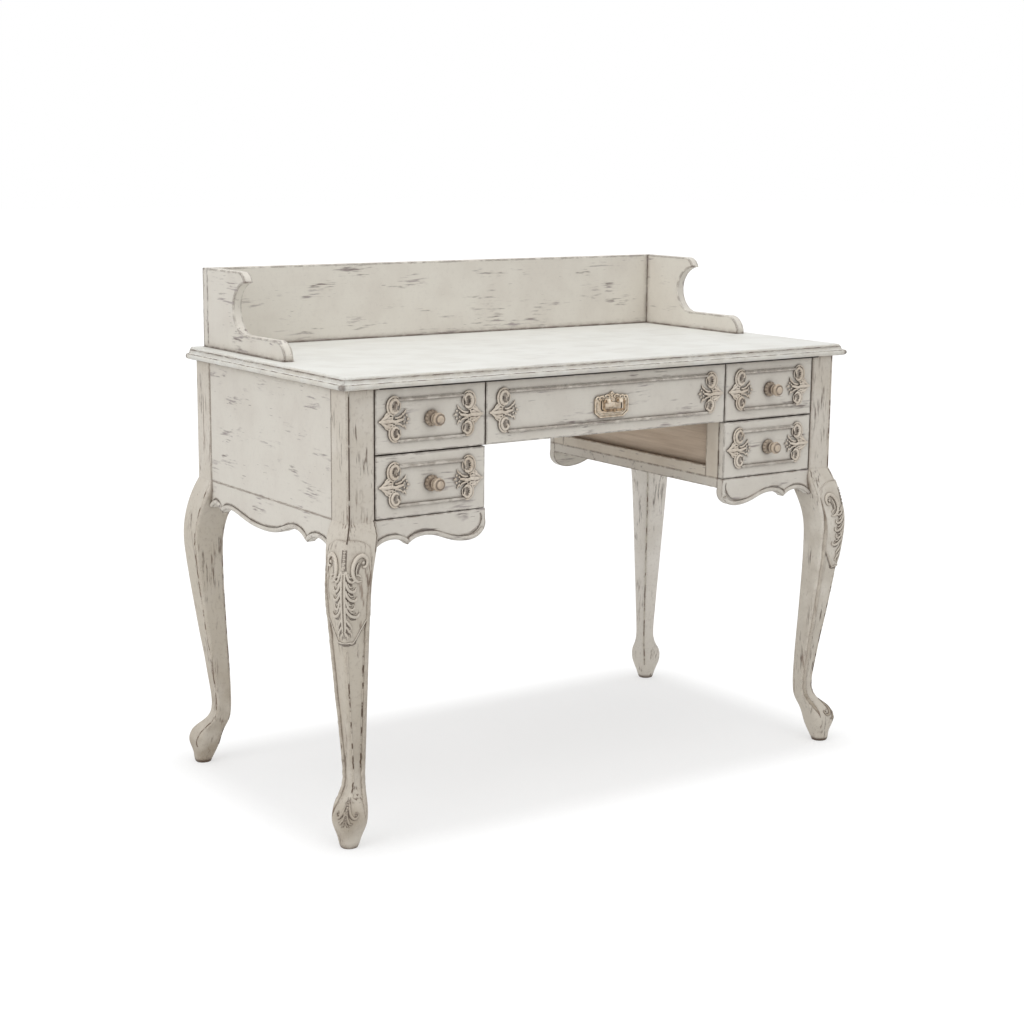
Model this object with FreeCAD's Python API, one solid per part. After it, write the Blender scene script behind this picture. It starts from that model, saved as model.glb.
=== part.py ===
import FreeCAD, Part
import os

# Writing desk: two pedestals of drawers on cabriole legs, a kneehole with a wide drawer over it,
# scalloped aprons, a moulded top and a low gallery at the back.
# Millimetres. X runs along the front, Y from front to back, Z up.
# The origin is on the floor, at the middle of the whole desk's plan.

V = FreeCAD.Vector

# Case
CASE_WIDTH = 1080.0  # over the outer faces of the posts
CASE_DEPTH = 547.0  # over the front and rear faces of the posts
WRITING_HEIGHT = 791.0  # floor to writing surface
UPPER_ROW_HEIGHT = 112.0  # upper drawers and the centre drawer
LOWER_ROW_HEIGHT = 108.0
KNEEHOLE_WIDTH = 536.0
FACE_SETBACK = 1.5  # panels, aprons and drawer fronts behind the faces of the posts
SIDE_PANEL_THICKNESS = 18.0
BACK_THICKNESS = 12.0
FLOOR_THICKNESS = 18.0
TONGUE_DEPTH = 14.0  # panels and aprons let into the posts
TONGUE_THICKNESS = 8.0
TONGUE_SHOULDER = 6.0  # tongue stops this far below and above the board's edges
OVERRUN = 5.0  # how far a cut runs past what it cuts
TOUCH = 0.01  # points nearer than this are at the same place
QUARTER_ARC_SHARE = 1 - 0.5 ** 0.5  # of the radius, from a corner to the middle of its rounding
FULL_TURN = 360.0  # degrees

# Top, with a moulded edge of a nose, a cove and a rounded step, square at the back
TOP_THICKNESS = 21.0
TOP_OVERHANG = 18.0
TOP_REAR_OVERHANG = 5.0
TOP_MOULD_WIDTH = 14.0
# Inset from the lip as a share of the moulding's width, height as a share of the thickness
NOSE_SHARES = ((0.36, 0.0), (0.0, 0.22), (0.14, 0.43))
COVE_SHARES = ((0.14, 0.43), (0.46, 0.52), (0.57, 0.76))
STEP_SHARES = ((0.68, 0.76), (0.76, 0.93), (1.0, 1.0))

# Gallery
GALLERY_HEIGHT = 144.0
GALLERY_LENGTH = 308.0  # of an end, measured from the back
GALLERY_THICKNESS = 18.0
GALLERY_INSET = 17.0  # outer face of an end behind the outer face of the case
GALLERY_EASE = 2.0  # rounding of the gallery's edges
# Distance from the back as a share of the length, height as a share of the gallery's height
CREST_SHARES = ((0.455, 1.0), (0.512, 0.949), (0.533, 0.87))
HOLLOW_SHARES = ((0.533, 0.87), (0.455, 0.81), (0.392, 0.64), (0.39, 0.46), (0.44, 0.3), (0.54, 0.235))
ARM_END_SHARES = ((0.87, 0.235), (0.965, 0.185), (1.0, 0.07))

# Legs: a square post that runs down into a cabriole leg with a pointed pad foot
POST_WIDTH = 52.0
# Height as a share of the leg, outward throw and side as shares of the post, corner as a share of the side
LEG_STATION_SHARES = (
    (1.0, 0.0, 1.0, 0.06), (0.933, 0.26, 1.23, 0.08), (0.843, 0.435, 1.14, 0.1), (0.77, 0.45, 1.08, 0.12),
    (0.69, 0.375, 1.0, 0.12), (0.6, 0.27, 0.915, 0.13), (0.507, 0.153, 0.83, 0.14),
    (0.418, 0.03, 0.738, 0.14), (0.327, -0.09, 0.65, 0.14), (0.25, -0.18, 0.58, 0.16),
    (0.2, -0.195, 0.56, 0.16), (0.167, -0.105, 0.62, 0.16), (0.138, 0.14, 0.78, 0.16),
    (0.112, 0.38, 0.95, 0.24), (0.083, 0.48, 1.0, 0.3), (0.055, 0.43, 0.88, 0.34),
    (0.028, 0.36, 0.71, 0.4), (0.0, 0.3, 0.54, 0.46),
)

# Carved field on the knees of the front legs
KNEE_RELIEF = 1.5
KNEE_FIELD_HALF_WIDTH = 39.0
KNEE_FIELD_LOW_SHARE = 0.6465  # of the leg's height
KNEE_FIELD_HIGH_SHARE = 0.955
# Sideways as a share of the half width, height as a share of the field
KNEE_FIELD_TOP_SHARES = ((0.0, 1.0), (0.5, 0.985), (0.9, 0.92))
KNEE_FIELD_SIDE_SHARES = ((0.9, 0.92), (0.97, 0.75), (0.93, 0.5), (0.85, 0.25))
KNEE_FIELD_FOOT_SHARES = ((0.85, 0.25), (0.32, 0.0), (0.0, 0.0))

# Aprons, scalloped, with a line cut along the lower edge
APRON_THICKNESS = 15.0
FRONT_APRON_DEPTH = 52.0
SIDE_APRON_DEPTH = 59.0
EDGE_BEAD_WIDTH = 8.0
EDGE_LINE_WIDTH = 2.2
EDGE_LINE_DEPTH = 1.6
# Front and rear aprons: distance from the kneehole end as a share of the length, depth as a share
FRONT_LOBE_SHARES = (
    (0.0, 0.33), (0.022, 0.76), (0.087, 0.945), (0.187, 1.0), (0.335, 0.89), (0.443, 0.725),
    (0.534, 0.655), (0.625, 0.7), (0.706, 0.89),
)
FRONT_ARCH_SHARES = ((0.706, 0.89), (0.775, 0.715), (0.845, 0.67), (0.915, 0.72), (1.0, 0.93))
# Side aprons: distance behind the middle as a share of the half length, depth as a share
SIDE_FRONT_ARCH_SHARES = ((-1.0, 0.92), (-0.88, 0.72), (-0.79, 0.67), (-0.7, 0.725), (-0.61, 0.9))
SIDE_LOBE_SHARES = (
    (-0.61, 0.9), (-0.525, 0.7), (-0.43, 0.645), (-0.34, 0.69), (-0.2, 0.86), (-0.03, 0.98), (0.15, 1.0),
    (0.32, 0.95), (0.46, 0.85), (0.58, 0.76), (0.67, 0.73), (0.745, 0.765), (0.82, 0.92),
)
SIDE_REAR_ARCH_SHARES = ((0.82, 0.92), (0.86, 0.77), (0.91, 0.7), (0.955, 0.73), (1.0, 0.86))

# Pedestal inner sides: a frame with a sunk panel
PARTITION_THICKNESS = 20.0
STILE_WIDTH = 34.0
TOP_RAIL_HEIGHT = 45.0
BOTTOM_RAIL_HEIGHT = 20.0
PARTITION_PANEL_THICKNESS = 8.0
PARTITION_PANEL_RECESS = 8.0  # behind the kneehole face of the frame
PARTITION_GROOVE_DEPTH = 7.0

# Drawers
DRAWER_FRONT_THICKNESS = 14.0
DRAWER_FRONT_EASE = 1.5  # rounding of a front's edges
DRAWER_GAP = 2.0  # the line of shadow round a front
DRAWER_CLOSED_GAP = 0.5  # front to the partition's edge when shut
DRAWER_WALL = 12.0
DRAWER_SIDE_CLEARANCE = 3.0  # box to post or partition
DRAWER_REAR_CLEARANCE = 18.0
DRAWER_BOX_RAISE = 8.0  # box above the lower edge of the front
DRAWER_BOX_DROP = 14.0  # box below the upper edge of the front
DRAWER_LAP = 8.0  # sides let into the back of the front
DRAWER_BOTTOM_THICKNESS = 6.0
DRAWER_BOTTOM_RAISE = 9.0  # bottom board above the lower edge of the box
DRAWER_BOTTOM_GROOVE = 5.0
FRONT_BEAD_INSET = 19.0  # bead line from the upper and lower edges
FRONT_BEAD_WIDTH = 5.0
FRONT_BEAD_PROUD = 2.2
FRONT_BEAD_START = 46.0  # bead line from the end of the front

# Runners: strips on the posts and partitions, in grooves along the drawer sides
RUNNER_HEIGHT = 14.0
RUNNER_ENGAGEMENT = 6.0
RUNNER_CLEARANCE = 0.3
RUNNER_START = 2.0  # behind the drawer front

# Blocks under the top
BLOCK_SIZE = 26.0
BLOCK_PLACE_SHARES = (-0.6, 0.0, 0.6)  # of half the end panel's length

# Carved scrolls on the drawer fronts
CARVING_TIP = 4.0  # tip of the leaf to the end of the front
CARVING_RELIEF = 5.0
SCROLL_RADIUS = 18.0
SCROLL_HOLLOW_RADIUS = 14.5
SCROLL_HOLLOW_SHIFT = 5.0  # hollow off the scroll's centre, towards the open side
SCROLL_BACK = 6.0  # tip of the leaf to the back of the scrolls
EYE_RADIUS = 5.5
EYE_TOP_RADIUS = 2.5
EYE_RELIEF = 6.5
EYE_PLACE_SHARES = (0.6, 0.56)  # of the scroll's radius, along and across
LEAF_LENGTH = 56.0
LEAF_HALF_WIDTH = 6.5
LEAF_RELIEF = 6.0

# Turned knobs
KNOB_RADIUS = 14.0
KNOB_PROJECTION = 30.0
KNOB_TENON_RADIUS = 5.0
KNOB_TENON_LENGTH = 11.0
# Radius as a share of the base radius, reach as a share of the projection
KNOB_FOOT_SHARES = ((1.0, 0.0), (1.0, 0.1), (0.9, 0.17))
KNOB_NECK_SHARES = ((0.9, 0.17), (0.62, 0.24), (0.45, 0.36), (0.5, 0.48), (0.72, 0.54))
KNOB_HEAD_SHARES = ((0.72, 0.54), (0.86, 0.66), (0.86, 0.8), (0.7, 0.92), (0.38, 0.985), (0.0, 1.0))

# Centre pull: plate, two posts and a bail
PLATE_WIDTH = 75.0
PLATE_HEIGHT = 46.0
PLATE_THICKNESS = 2.5
PLATE_DROP = 3.0  # middle of the plate below the middle of the front
# Sideways as a share of the width, up as a share of the height
PLATE_FOOT_SHARES = ((0.0, 0.0), (0.34, 0.0), (0.5, 0.2), (0.5, 0.7))
PLATE_CREST_SHARES = ((0.5, 0.7), (0.4, 0.84), (0.25, 0.86), (0.1, 0.9), (0.0, 1.0))
PULL_POST_SPACING = 27.0
PULL_POST_RADIUS = 4.5
PULL_POST_REACH = 13.0
PULL_POST_HEIGHT_SHARE = 0.66  # of the plate's height
PULL_SHANK_RADIUS = 2.5
BAIL_RADIUS = 2.0
BAIL_CLEARANCE = 0.09
BAIL_OFFSET = 8.0  # bail's axis in front of the plate
BAIL_DROP = 17.0
BAIL_OVERHANG = 9.0  # bail's arm outside the post's centre
BAIL_PIN = 7.0  # bail's end inside the post's centre
BAIL_BEND = 4.0

# Worked out from the values above
CASE_TOP = WRITING_HEIGHT - TOP_THICKNESS
ROW_LINE = CASE_TOP - UPPER_ROW_HEIGHT
CASE_BOTTOM = ROW_LINE - LOWER_ROW_HEIGHT
LEG_REACH = POST_WIDTH * max(station[1] for station in LEG_STATION_SHARES)
REAR_REACH = max(LEG_REACH, TOP_REAR_OVERHANG)
FRONT_REACH = max(KNOB_PROJECTION - FACE_SETBACK, LEG_REACH, TOP_OVERHANG)
CASE_CENTRE_Y = (FRONT_REACH - REAR_REACH) / 2
FRONT_Y = CASE_CENTRE_Y - CASE_DEPTH / 2
BACK_Y = CASE_CENTRE_Y + CASE_DEPTH / 2
LEFT_X = -CASE_WIDTH / 2
POST_INNER_X = LEFT_X + POST_WIDTH
FRONT_FACE_Y = FRONT_Y + FACE_SETBACK
BACK_FACE_Y = BACK_Y - FACE_SETBACK
SIDE_FACE_X = LEFT_X + FACE_SETBACK
KNEE_X = -KNEEHOLE_WIDTH / 2
PARTITION_X = KNEE_X - PARTITION_THICKNESS
DRAWER_BACK_OF_FRONT = FRONT_FACE_Y + DRAWER_FRONT_THICKNESS
CASE_INNER_BACK = BACK_FACE_Y - BACK_THICKNESS
PARTITION_FRONT_Y = DRAWER_BACK_OF_FRONT + DRAWER_CLOSED_GAP
DRAWER_REAR_Y = CASE_INNER_BACK - DRAWER_REAR_CLEARANCE
RUNNER_PROUD = DRAWER_SIDE_CLEARANCE + RUNNER_ENGAGEMENT
UPPER_Z = (ROW_LINE + DRAWER_GAP / 2, CASE_TOP - DRAWER_GAP)
LOWER_Z = (CASE_BOTTOM + DRAWER_GAP / 2, ROW_LINE - DRAWER_GAP / 2)


# Shapes that the pieces are made with

def box(xs, ys, zs):
    """Block between two values on each axis, given in either order."""
    low = V(min(xs), min(ys), min(zs))
    size = V(max(xs), max(ys), max(zs)) - low
    return Part.makeBox(size.x, size.y, size.z, low)


def line(start, end):
    return Part.makeLine(start, end)


def spline(points):
    curve = Part.BSplineCurve()
    curve.interpolate(points)
    return curve.toShape()


def arc(points):
    return Part.Arc(*points).toShape()


def prism(edges, direction):
    return Part.Face(Part.Wire(edges)).extrude(direction)


def to_right(shape):
    """The same piece on the right side of the desk."""
    return shape.mirror(V(0, 0, 0), V(1, 0, 0))


def to_rear(shape):
    """The same piece at the back of the case."""
    return shape.mirror(V(0, CASE_CENTRE_Y, 0), V(0, 1, 0))


def fused(first, others):
    return first.fuse(others).removeSplitter()


def eased(shape, radius, chosen):
    """The shape with those edges rounded that are chosen by their two end points."""
    edges = [edge for edge in shape.Edges if chosen(*(vertex.Point for vertex in edge.Vertexes))]
    return shape.makeFillet(radius, edges)


# Top and gallery

def moulded_edge(lip, inward, place):
    """Edges, lowest and highest point of a moulding with its lip at lip, set out by place(across, z)."""
    def points(shares):
        return [
            place(lip + inward * inset * TOP_MOULD_WIDTH, CASE_TOP + height * TOP_THICKNESS)
            for inset, height in shares
        ]

    nose, cove, step = points(NOSE_SHARES), points(COVE_SHARES), points(STEP_SHARES)
    return [arc(nose), arc(cove), line(cove[-1], step[0]), arc(step)], nose[0], step[-1]


def square_edge(across, place):
    low, high = place(across, CASE_TOP), place(across, WRITING_HEIGHT)
    return [line(low, high)], low, high


def top_section(first, second):
    """Cross-section of the top between two edges."""
    edges = first[0] + second[0] + [line(first[1], second[1]), line(first[2], second[2])]
    return Part.Face(Part.Wire(Part.__sortEdges__(edges)))


def make_top():
    lip_x = CASE_WIDTH / 2 + TOP_OVERHANG
    front, rear = FRONT_Y - TOP_OVERHANG, BACK_Y + TOP_REAR_OVERHANG

    def in_depth(across, z):
        return V(-lip_x, across, z)

    def in_width(across, z):
        return V(across, front, z)

    long_face = top_section(moulded_edge(front, 1, in_depth), square_edge(rear, in_depth))
    short_face = top_section(moulded_edge(-lip_x, 1, in_width), moulded_edge(lip_x, -1, in_width))
    along = long_face.extrude(V(lip_x + lip_x, 0, 0))
    return along.common(short_face.extrude(V(0, rear - front, 0)))


def make_gallery_side():
    outer_x = LEFT_X + GALLERY_INSET

    def place(share):
        return V(outer_x, BACK_Y - share[0] * GALLERY_LENGTH, WRITING_HEIGHT + share[1] * GALLERY_HEIGHT)

    crest = [place(share) for share in CREST_SHARES]
    hollow = [place(share) for share in HOLLOW_SHARES]
    arm_end = [place(share) for share in ARM_END_SHARES]
    rear_y = BACK_Y - GALLERY_THICKNESS
    rear_low = V(outer_x, rear_y, WRITING_HEIGHT)
    rear_high = V(outer_x, rear_y, crest[0].z)
    front_low = V(outer_x, arm_end[-1].y, WRITING_HEIGHT)
    edges = [
        line(rear_low, rear_high), line(rear_high, crest[0]), arc(crest), spline(hollow),
        line(hollow[-1], arm_end[0]), arc(arm_end), line(arm_end[-1], front_low), line(front_low, rear_low),
    ]
    board = prism(edges, V(GALLERY_THICKNESS, 0, 0))

    def along_outline(start, end):
        return abs(start.x - end.x) < TOUCH < min(start.z, end.z) - WRITING_HEIGHT

    return eased(board, GALLERY_EASE, along_outline)


def make_gallery_back():
    half = CASE_WIDTH / 2 - GALLERY_INSET
    zs = (WRITING_HEIGHT, WRITING_HEIGHT + GALLERY_HEIGHT)
    board = box((-half, half), (BACK_Y - GALLERY_THICKNESS, BACK_Y), zs)
    return eased(board, GALLERY_EASE, lambda start, end: min(start.z, end.z) > zs[1] - TOUCH)


# Legs

def rounded_square(outer, side, radius, z):
    """Square of the front left leg with its outer corner thrown out from the case's corner."""
    low_x, low_y = LEFT_X - outer, FRONT_Y - outer
    high_x, high_y = low_x + side, low_y + side
    corners = (
        (low_x, low_y, 1, 1), (high_x, low_y, -1, 1), (high_x, high_y, -1, -1), (low_x, high_y, 1, -1),
    )
    arcs = []
    slack = radius * QUARTER_ARC_SHARE
    for index, (x, y, in_x, in_y) in enumerate(corners):
        along_x = V(x + in_x * radius, y, z)
        along_y = V(x, y + in_y * radius, z)
        middle = V(x + in_x * slack, y + in_y * slack, z)
        start, end = (along_y, along_x) if index % 2 == 0 else (along_x, along_y)
        arcs.append((start, middle, end))
    edges = []
    for index, points in enumerate(arcs):
        edges.append(arc(points))
        edges.append(line(points[2], arcs[(index + 1) % len(arcs)][0]))
    return Part.Wire(edges)


def leg_loft(relief):
    """Cabriole leg from the foot to the post, with its outer faces moved out by relief."""
    wires = []
    for height, outward, side, corner in LEG_STATION_SHARES:
        width = side * POST_WIDTH + relief
        outer = outward * POST_WIDTH + relief
        wires.append(rounded_square(outer, width, corner * width, height * CASE_BOTTOM))
    return Part.makeLoft(wires, True, False)


def make_rear_leg_blank():
    """Post and leg in one piece, at the front left corner."""
    corner_share = LEG_STATION_SHARES[0][-1]
    head = rounded_square(0, POST_WIDTH, corner_share * POST_WIDTH, CASE_BOTTOM)
    post = Part.Face(head).extrude(V(0, 0, CASE_TOP - CASE_BOTTOM))
    return fused(leg_loft(0), [post])


def knee_field():
    """Raised ground of the knee carving, following the curve of the leg."""
    low = KNEE_FIELD_LOW_SHARE * CASE_BOTTOM
    high = KNEE_FIELD_HIGH_SHARE * CASE_BOTTOM
    outside = LEG_REACH + POST_WIDTH
    centre = V(LEFT_X - outside, FRONT_Y - outside, 0)
    sideways = V(1, -1, 0).normalize()

    def place(share, side):
        offset = V(sideways) * (side * share[0] * KNEE_FIELD_HALF_WIDTH)
        return centre + offset + V(0, 0, low + share[1] * (high - low))

    edges = []
    for side in (1, -1):
        edges.append(spline([place(share, side) for share in KNEE_FIELD_TOP_SHARES]))
        edges.append(spline([place(share, side) for share in KNEE_FIELD_SIDE_SHARES]))
        foot = [place(share, side) for share in KNEE_FIELD_FOOT_SHARES]
        edges += [line(*ends) for ends in zip(foot, foot[1:])]
    reach = outside + POST_WIDTH / 2
    shield = Part.Face(Part.Wire(Part.__sortEdges__(edges))).extrude(V(reach, reach, 0))
    return leg_loft(KNEE_RELIEF).common(shield)


# Panels, aprons and floors of the left pedestal

def tongue_span(faces):
    """The two faces of a tongue in the middle of a board between two faces."""
    middle = (faces[0] + faces[1]) / 2
    return middle - TONGUE_THICKNESS / 2, middle + TONGUE_THICKNESS / 2


def shouldered(zs):
    return min(zs) + TONGUE_SHOULDER, max(zs) - TONGUE_SHOULDER


def tongue_y(inner, outer, xs, zs):
    """Tongue of a board that runs front to back, let into a post."""
    return box(tongue_span(xs), (inner, outer), shouldered(zs))


def tongue_x(inner, outer, ys, zs):
    """Tongue of a board that runs along the front or back, let into a post."""
    return box((inner, outer), tongue_span(ys), shouldered(zs))


def apron_board(stretches, ends, groove_stretches, direction, groove_direction):
    """Scalloped board: a lower edge of splines closed by straight ends, less a line cut along that edge."""
    edges = [spline(points) for points in stretches]
    first, last = stretches[0][0], stretches[-1][-1]
    corners = [last] + ends + [first]
    edges += [line(corners[i], corners[i + 1]) for i in range(len(corners) - 1)]
    board = prism(edges, direction)
    lower, upper = groove_stretches
    cut = [spline(points) for points in lower] + [spline(points) for points in upper]
    cut.append(line(lower[0][0], upper[0][0]))
    cut.append(line(lower[-1][-1], upper[-1][-1]))
    groove = Part.Face(Part.Wire(Part.__sortEdges__(cut))).extrude(groove_direction)
    return board.cut(groove)


def make_front_apron(leg):
    """Apron under the left pedestal's front, with its tongue, shaped to the leg that it meets."""
    length = KNEE_X - POST_INNER_X

    def stretches(inset):
        runs = []
        for shares in (FRONT_LOBE_SHARES, FRONT_ARCH_SHARES):
            runs.append([
                V(KNEE_X - inset - along * (length - inset), FRONT_FACE_Y,
                  CASE_BOTTOM + inset - depth * FRONT_APRON_DEPTH)
                for along, depth in shares
            ])
        return runs

    edge = stretches(0)
    post_end = edge[-1][-1]
    into_post = POST_INNER_X - POST_WIDTH / 2
    ends = [
        V(into_post, FRONT_FACE_Y, post_end.z), V(into_post, FRONT_FACE_Y, CASE_BOTTOM),
        V(KNEE_X, FRONT_FACE_Y, CASE_BOTTOM),
    ]
    grooves = (stretches(EDGE_BEAD_WIDTH), stretches(EDGE_BEAD_WIDTH + EDGE_LINE_WIDTH))
    board = apron_board(edge, ends, grooves, V(0, APRON_THICKNESS, 0), V(0, EDGE_LINE_DEPTH, 0))
    tongue = tongue_x(
        POST_INNER_X + TONGUE_SHOULDER, POST_INNER_X - TONGUE_DEPTH,
        (FRONT_FACE_Y, FRONT_FACE_Y + APRON_THICKNESS), (CASE_BOTTOM, post_end.z),
    )
    return fused(board.cut(leg), [tongue]), tongue


def make_side_apron(front_leg, rear_leg):
    """Apron under the left end panel, with a tongue into each leg."""
    half = CASE_DEPTH / 2 - POST_WIDTH

    def stretches(inset):
        return [
            [
                V(SIDE_FACE_X, CASE_CENTRE_Y + along * half, CASE_BOTTOM + inset - depth * SIDE_APRON_DEPTH)
                for along, depth in shares
            ]
            for shares in (SIDE_FRONT_ARCH_SHARES, SIDE_LOBE_SHARES, SIDE_REAR_ARCH_SHARES)
        ]

    edge = stretches(0)
    into_post = half + POST_WIDTH / 2
    front_y, rear_y = CASE_CENTRE_Y - into_post, CASE_CENTRE_Y + into_post
    front_low, rear_low = edge[0][0].z, edge[-1][-1].z
    ends = [
        V(SIDE_FACE_X, rear_y, rear_low), V(SIDE_FACE_X, rear_y, CASE_BOTTOM),
        V(SIDE_FACE_X, front_y, CASE_BOTTOM), V(SIDE_FACE_X, front_y, front_low),
    ]
    grooves = (stretches(EDGE_BEAD_WIDTH), stretches(EDGE_BEAD_WIDTH + EDGE_LINE_WIDTH))
    board = apron_board(edge, ends, grooves, V(APRON_THICKNESS, 0, 0), V(EDGE_LINE_DEPTH, 0, 0))
    tongues = [
        tongue_y(
            CASE_CENTRE_Y + side * (half - TONGUE_SHOULDER), CASE_CENTRE_Y + side * (half + TONGUE_DEPTH),
            (SIDE_FACE_X, SIDE_FACE_X + APRON_THICKNESS), (CASE_BOTTOM, low),
        )
        for side, low in ((-1, front_low), (1, rear_low))
    ]
    return fused(board.cut([front_leg, rear_leg]), tongues), tongues


def make_side_panel():
    half = CASE_DEPTH / 2 - POST_WIDTH
    xs = (SIDE_FACE_X, SIDE_FACE_X + SIDE_PANEL_THICKNESS)
    zs = (CASE_BOTTOM, CASE_TOP)
    board = box(xs, (CASE_CENTRE_Y - half, CASE_CENTRE_Y + half), zs)
    tongues = [
        tongue_y(CASE_CENTRE_Y + side * half, CASE_CENTRE_Y + side * (half + TONGUE_DEPTH), xs, zs)
        for side in (-1, 1)
    ]
    return fused(board, tongues), tongues


def make_back_panel():
    """Closed back of the left pedestal, below the back rail."""
    ys = (CASE_INNER_BACK, BACK_FACE_Y)
    zs = (CASE_BOTTOM, ROW_LINE)
    tongue = tongue_x(POST_INNER_X, POST_INNER_X - TONGUE_DEPTH, ys, zs)
    return fused(box((POST_INNER_X, KNEE_X), ys, zs), [tongue]), tongue


def make_back_rail():
    """Long board behind the upper drawers, from rear post to rear post."""
    ys = (CASE_INNER_BACK, BACK_FACE_Y)
    zs = (ROW_LINE, CASE_TOP)
    tongue = tongue_x(POST_INNER_X, POST_INNER_X - TONGUE_DEPTH, ys, zs)
    return fused(box((POST_INNER_X, -POST_INNER_X), ys, zs), [tongue, to_right(tongue)]), tongue


def make_floor(front_leg, rear_leg):
    ys = (FRONT_FACE_Y + APRON_THICKNESS, BACK_FACE_Y - APRON_THICKNESS)
    zs = (CASE_BOTTOM - FLOOR_THICKNESS, CASE_BOTTOM)
    return box((SIDE_FACE_X + APRON_THICKNESS, KNEE_X), ys, zs).cut([front_leg, rear_leg])


def make_partition():
    """Framed inner side of the left pedestal: two stiles, two rails and a sunk panel."""
    xs = (PARTITION_X, KNEE_X)
    zs = (CASE_BOTTOM, CASE_TOP)
    front, back = PARTITION_FRONT_Y, CASE_INNER_BACK
    rail_ys = (front + STILE_WIDTH, back - STILE_WIDTH)
    panel_x = KNEE_X - PARTITION_PANEL_RECESS
    panel_xs = (panel_x - PARTITION_PANEL_THICKNESS, panel_x)
    groove = PARTITION_GROOVE_DEPTH
    panel_ys = (rail_ys[0] - groove, rail_ys[1] + groove)
    top_zs = (CASE_TOP - TOP_RAIL_HEIGHT, CASE_TOP)
    bottom_zs = (CASE_BOTTOM, CASE_BOTTOM + BOTTOM_RAIL_HEIGHT)
    panel = box(panel_xs, panel_ys, (bottom_zs[1] - groove, top_zs[0] + groove))
    rails = []
    for rail_zs in (top_zs, bottom_zs):
        tenon = box(panel_xs, panel_ys, shouldered(rail_zs))
        rails.append(fused(box(xs, rail_ys, rail_zs), [tenon]).cut(panel))
    stiles = []
    for ys in ((front, front + STILE_WIDTH), (back - STILE_WIDTH, back)):
        stiles.append(box(xs, ys, zs).cut([panel] + rails))
    return stiles, rails, panel


def make_runner(wall_x, into, zs):
    """Strip on a post or partition face at wall_x, standing out in the direction into."""
    middle = (zs[0] + zs[1]) / 2
    return box(
        (wall_x, wall_x + into * RUNNER_PROUD), (DRAWER_BACK_OF_FRONT + RUNNER_START, CASE_INNER_BACK),
        (middle - RUNNER_HEIGHT / 2, middle + RUNNER_HEIGHT / 2),
    )


def make_blocks():
    half = CASE_DEPTH / 2 - POST_WIDTH
    inner_x = SIDE_FACE_X + SIDE_PANEL_THICKNESS
    blocks = []
    for share in BLOCK_PLACE_SHARES:
        middle = CASE_CENTRE_Y + share * half
        blocks.append(box(
            (inner_x, inner_x + BLOCK_SIZE), (middle - BLOCK_SIZE / 2, middle + BLOCK_SIZE / 2),
            (CASE_TOP - BLOCK_SIZE, CASE_TOP),
        ))
    return blocks


# Drawers

def front_bead(xs, z):
    """Half-round bead along a drawer front."""
    half = FRONT_BEAD_WIDTH / 2
    low = V(min(xs), FRONT_FACE_Y, z - half)
    crown = V(min(xs), FRONT_FACE_Y - FRONT_BEAD_PROUD, z)
    high = V(min(xs), FRONT_FACE_Y, z + half)
    return prism([arc([low, crown, high]), line(high, low)], V(max(xs) - min(xs), 0, 0))


def make_drawer(front_xs, box_xs, front_zs, holes):
    """Front, sides, back and bottom of one drawer; holes are cut through the front."""
    box_zs = (front_zs[0] + DRAWER_BOX_RAISE, front_zs[1] - DRAWER_BOX_DROP)
    runner_middle = (front_zs[0] + front_zs[1]) / 2
    side_ys = (DRAWER_BACK_OF_FRONT - DRAWER_LAP, DRAWER_REAR_Y)
    inner_xs = (box_xs[0] + DRAWER_WALL, box_xs[1] - DRAWER_WALL)
    bottom_zs = (box_zs[0] + DRAWER_BOTTOM_RAISE, box_zs[0] + DRAWER_BOTTOM_RAISE + DRAWER_BOTTOM_THICKNESS)
    bottom = box(
        (inner_xs[0] - DRAWER_BOTTOM_GROOVE, inner_xs[1] + DRAWER_BOTTOM_GROOVE),
        (DRAWER_BACK_OF_FRONT - DRAWER_BOTTOM_GROOVE, DRAWER_REAR_Y), bottom_zs,
    )
    groove_half = RUNNER_HEIGHT / 2 + RUNNER_CLEARANCE
    groove_deep = RUNNER_ENGAGEMENT + RUNNER_CLEARANCE
    walls = [(box_xs[0], 1), (box_xs[1], -1)]
    sides = []
    for outer, inward in walls:
        wall = box((outer, outer + inward * DRAWER_WALL), side_ys, box_zs)
        groove = box(
            (outer - inward * OVERRUN, outer + inward * groove_deep),
            (DRAWER_BACK_OF_FRONT, DRAWER_REAR_Y + OVERRUN),
            (runner_middle - groove_half, runner_middle + groove_half),
        )
        sides.append(wall.cut([groove, bottom]))
    back = box(inner_xs, (DRAWER_REAR_Y - DRAWER_WALL, DRAWER_REAR_Y), (bottom_zs[1], box_zs[1]))
    front = box(front_xs, (FRONT_FACE_Y, DRAWER_BACK_OF_FRONT), front_zs)
    front = eased(front, DRAWER_FRONT_EASE, lambda start, end: max(start.y, end.y) < FRONT_FACE_Y + TOUCH)
    bead_xs = (front_xs[0] + FRONT_BEAD_START, front_xs[1] - FRONT_BEAD_START)
    bead_zs = (front_zs[0] + FRONT_BEAD_INSET, front_zs[1] - FRONT_BEAD_INSET)
    beads = [front_bead(bead_xs, z) for z in bead_zs]
    front = fused(front, beads).cut(sides + [bottom] + holes)
    return {"front": front, "sides": sides, "back": back, "bottom": bottom}


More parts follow.
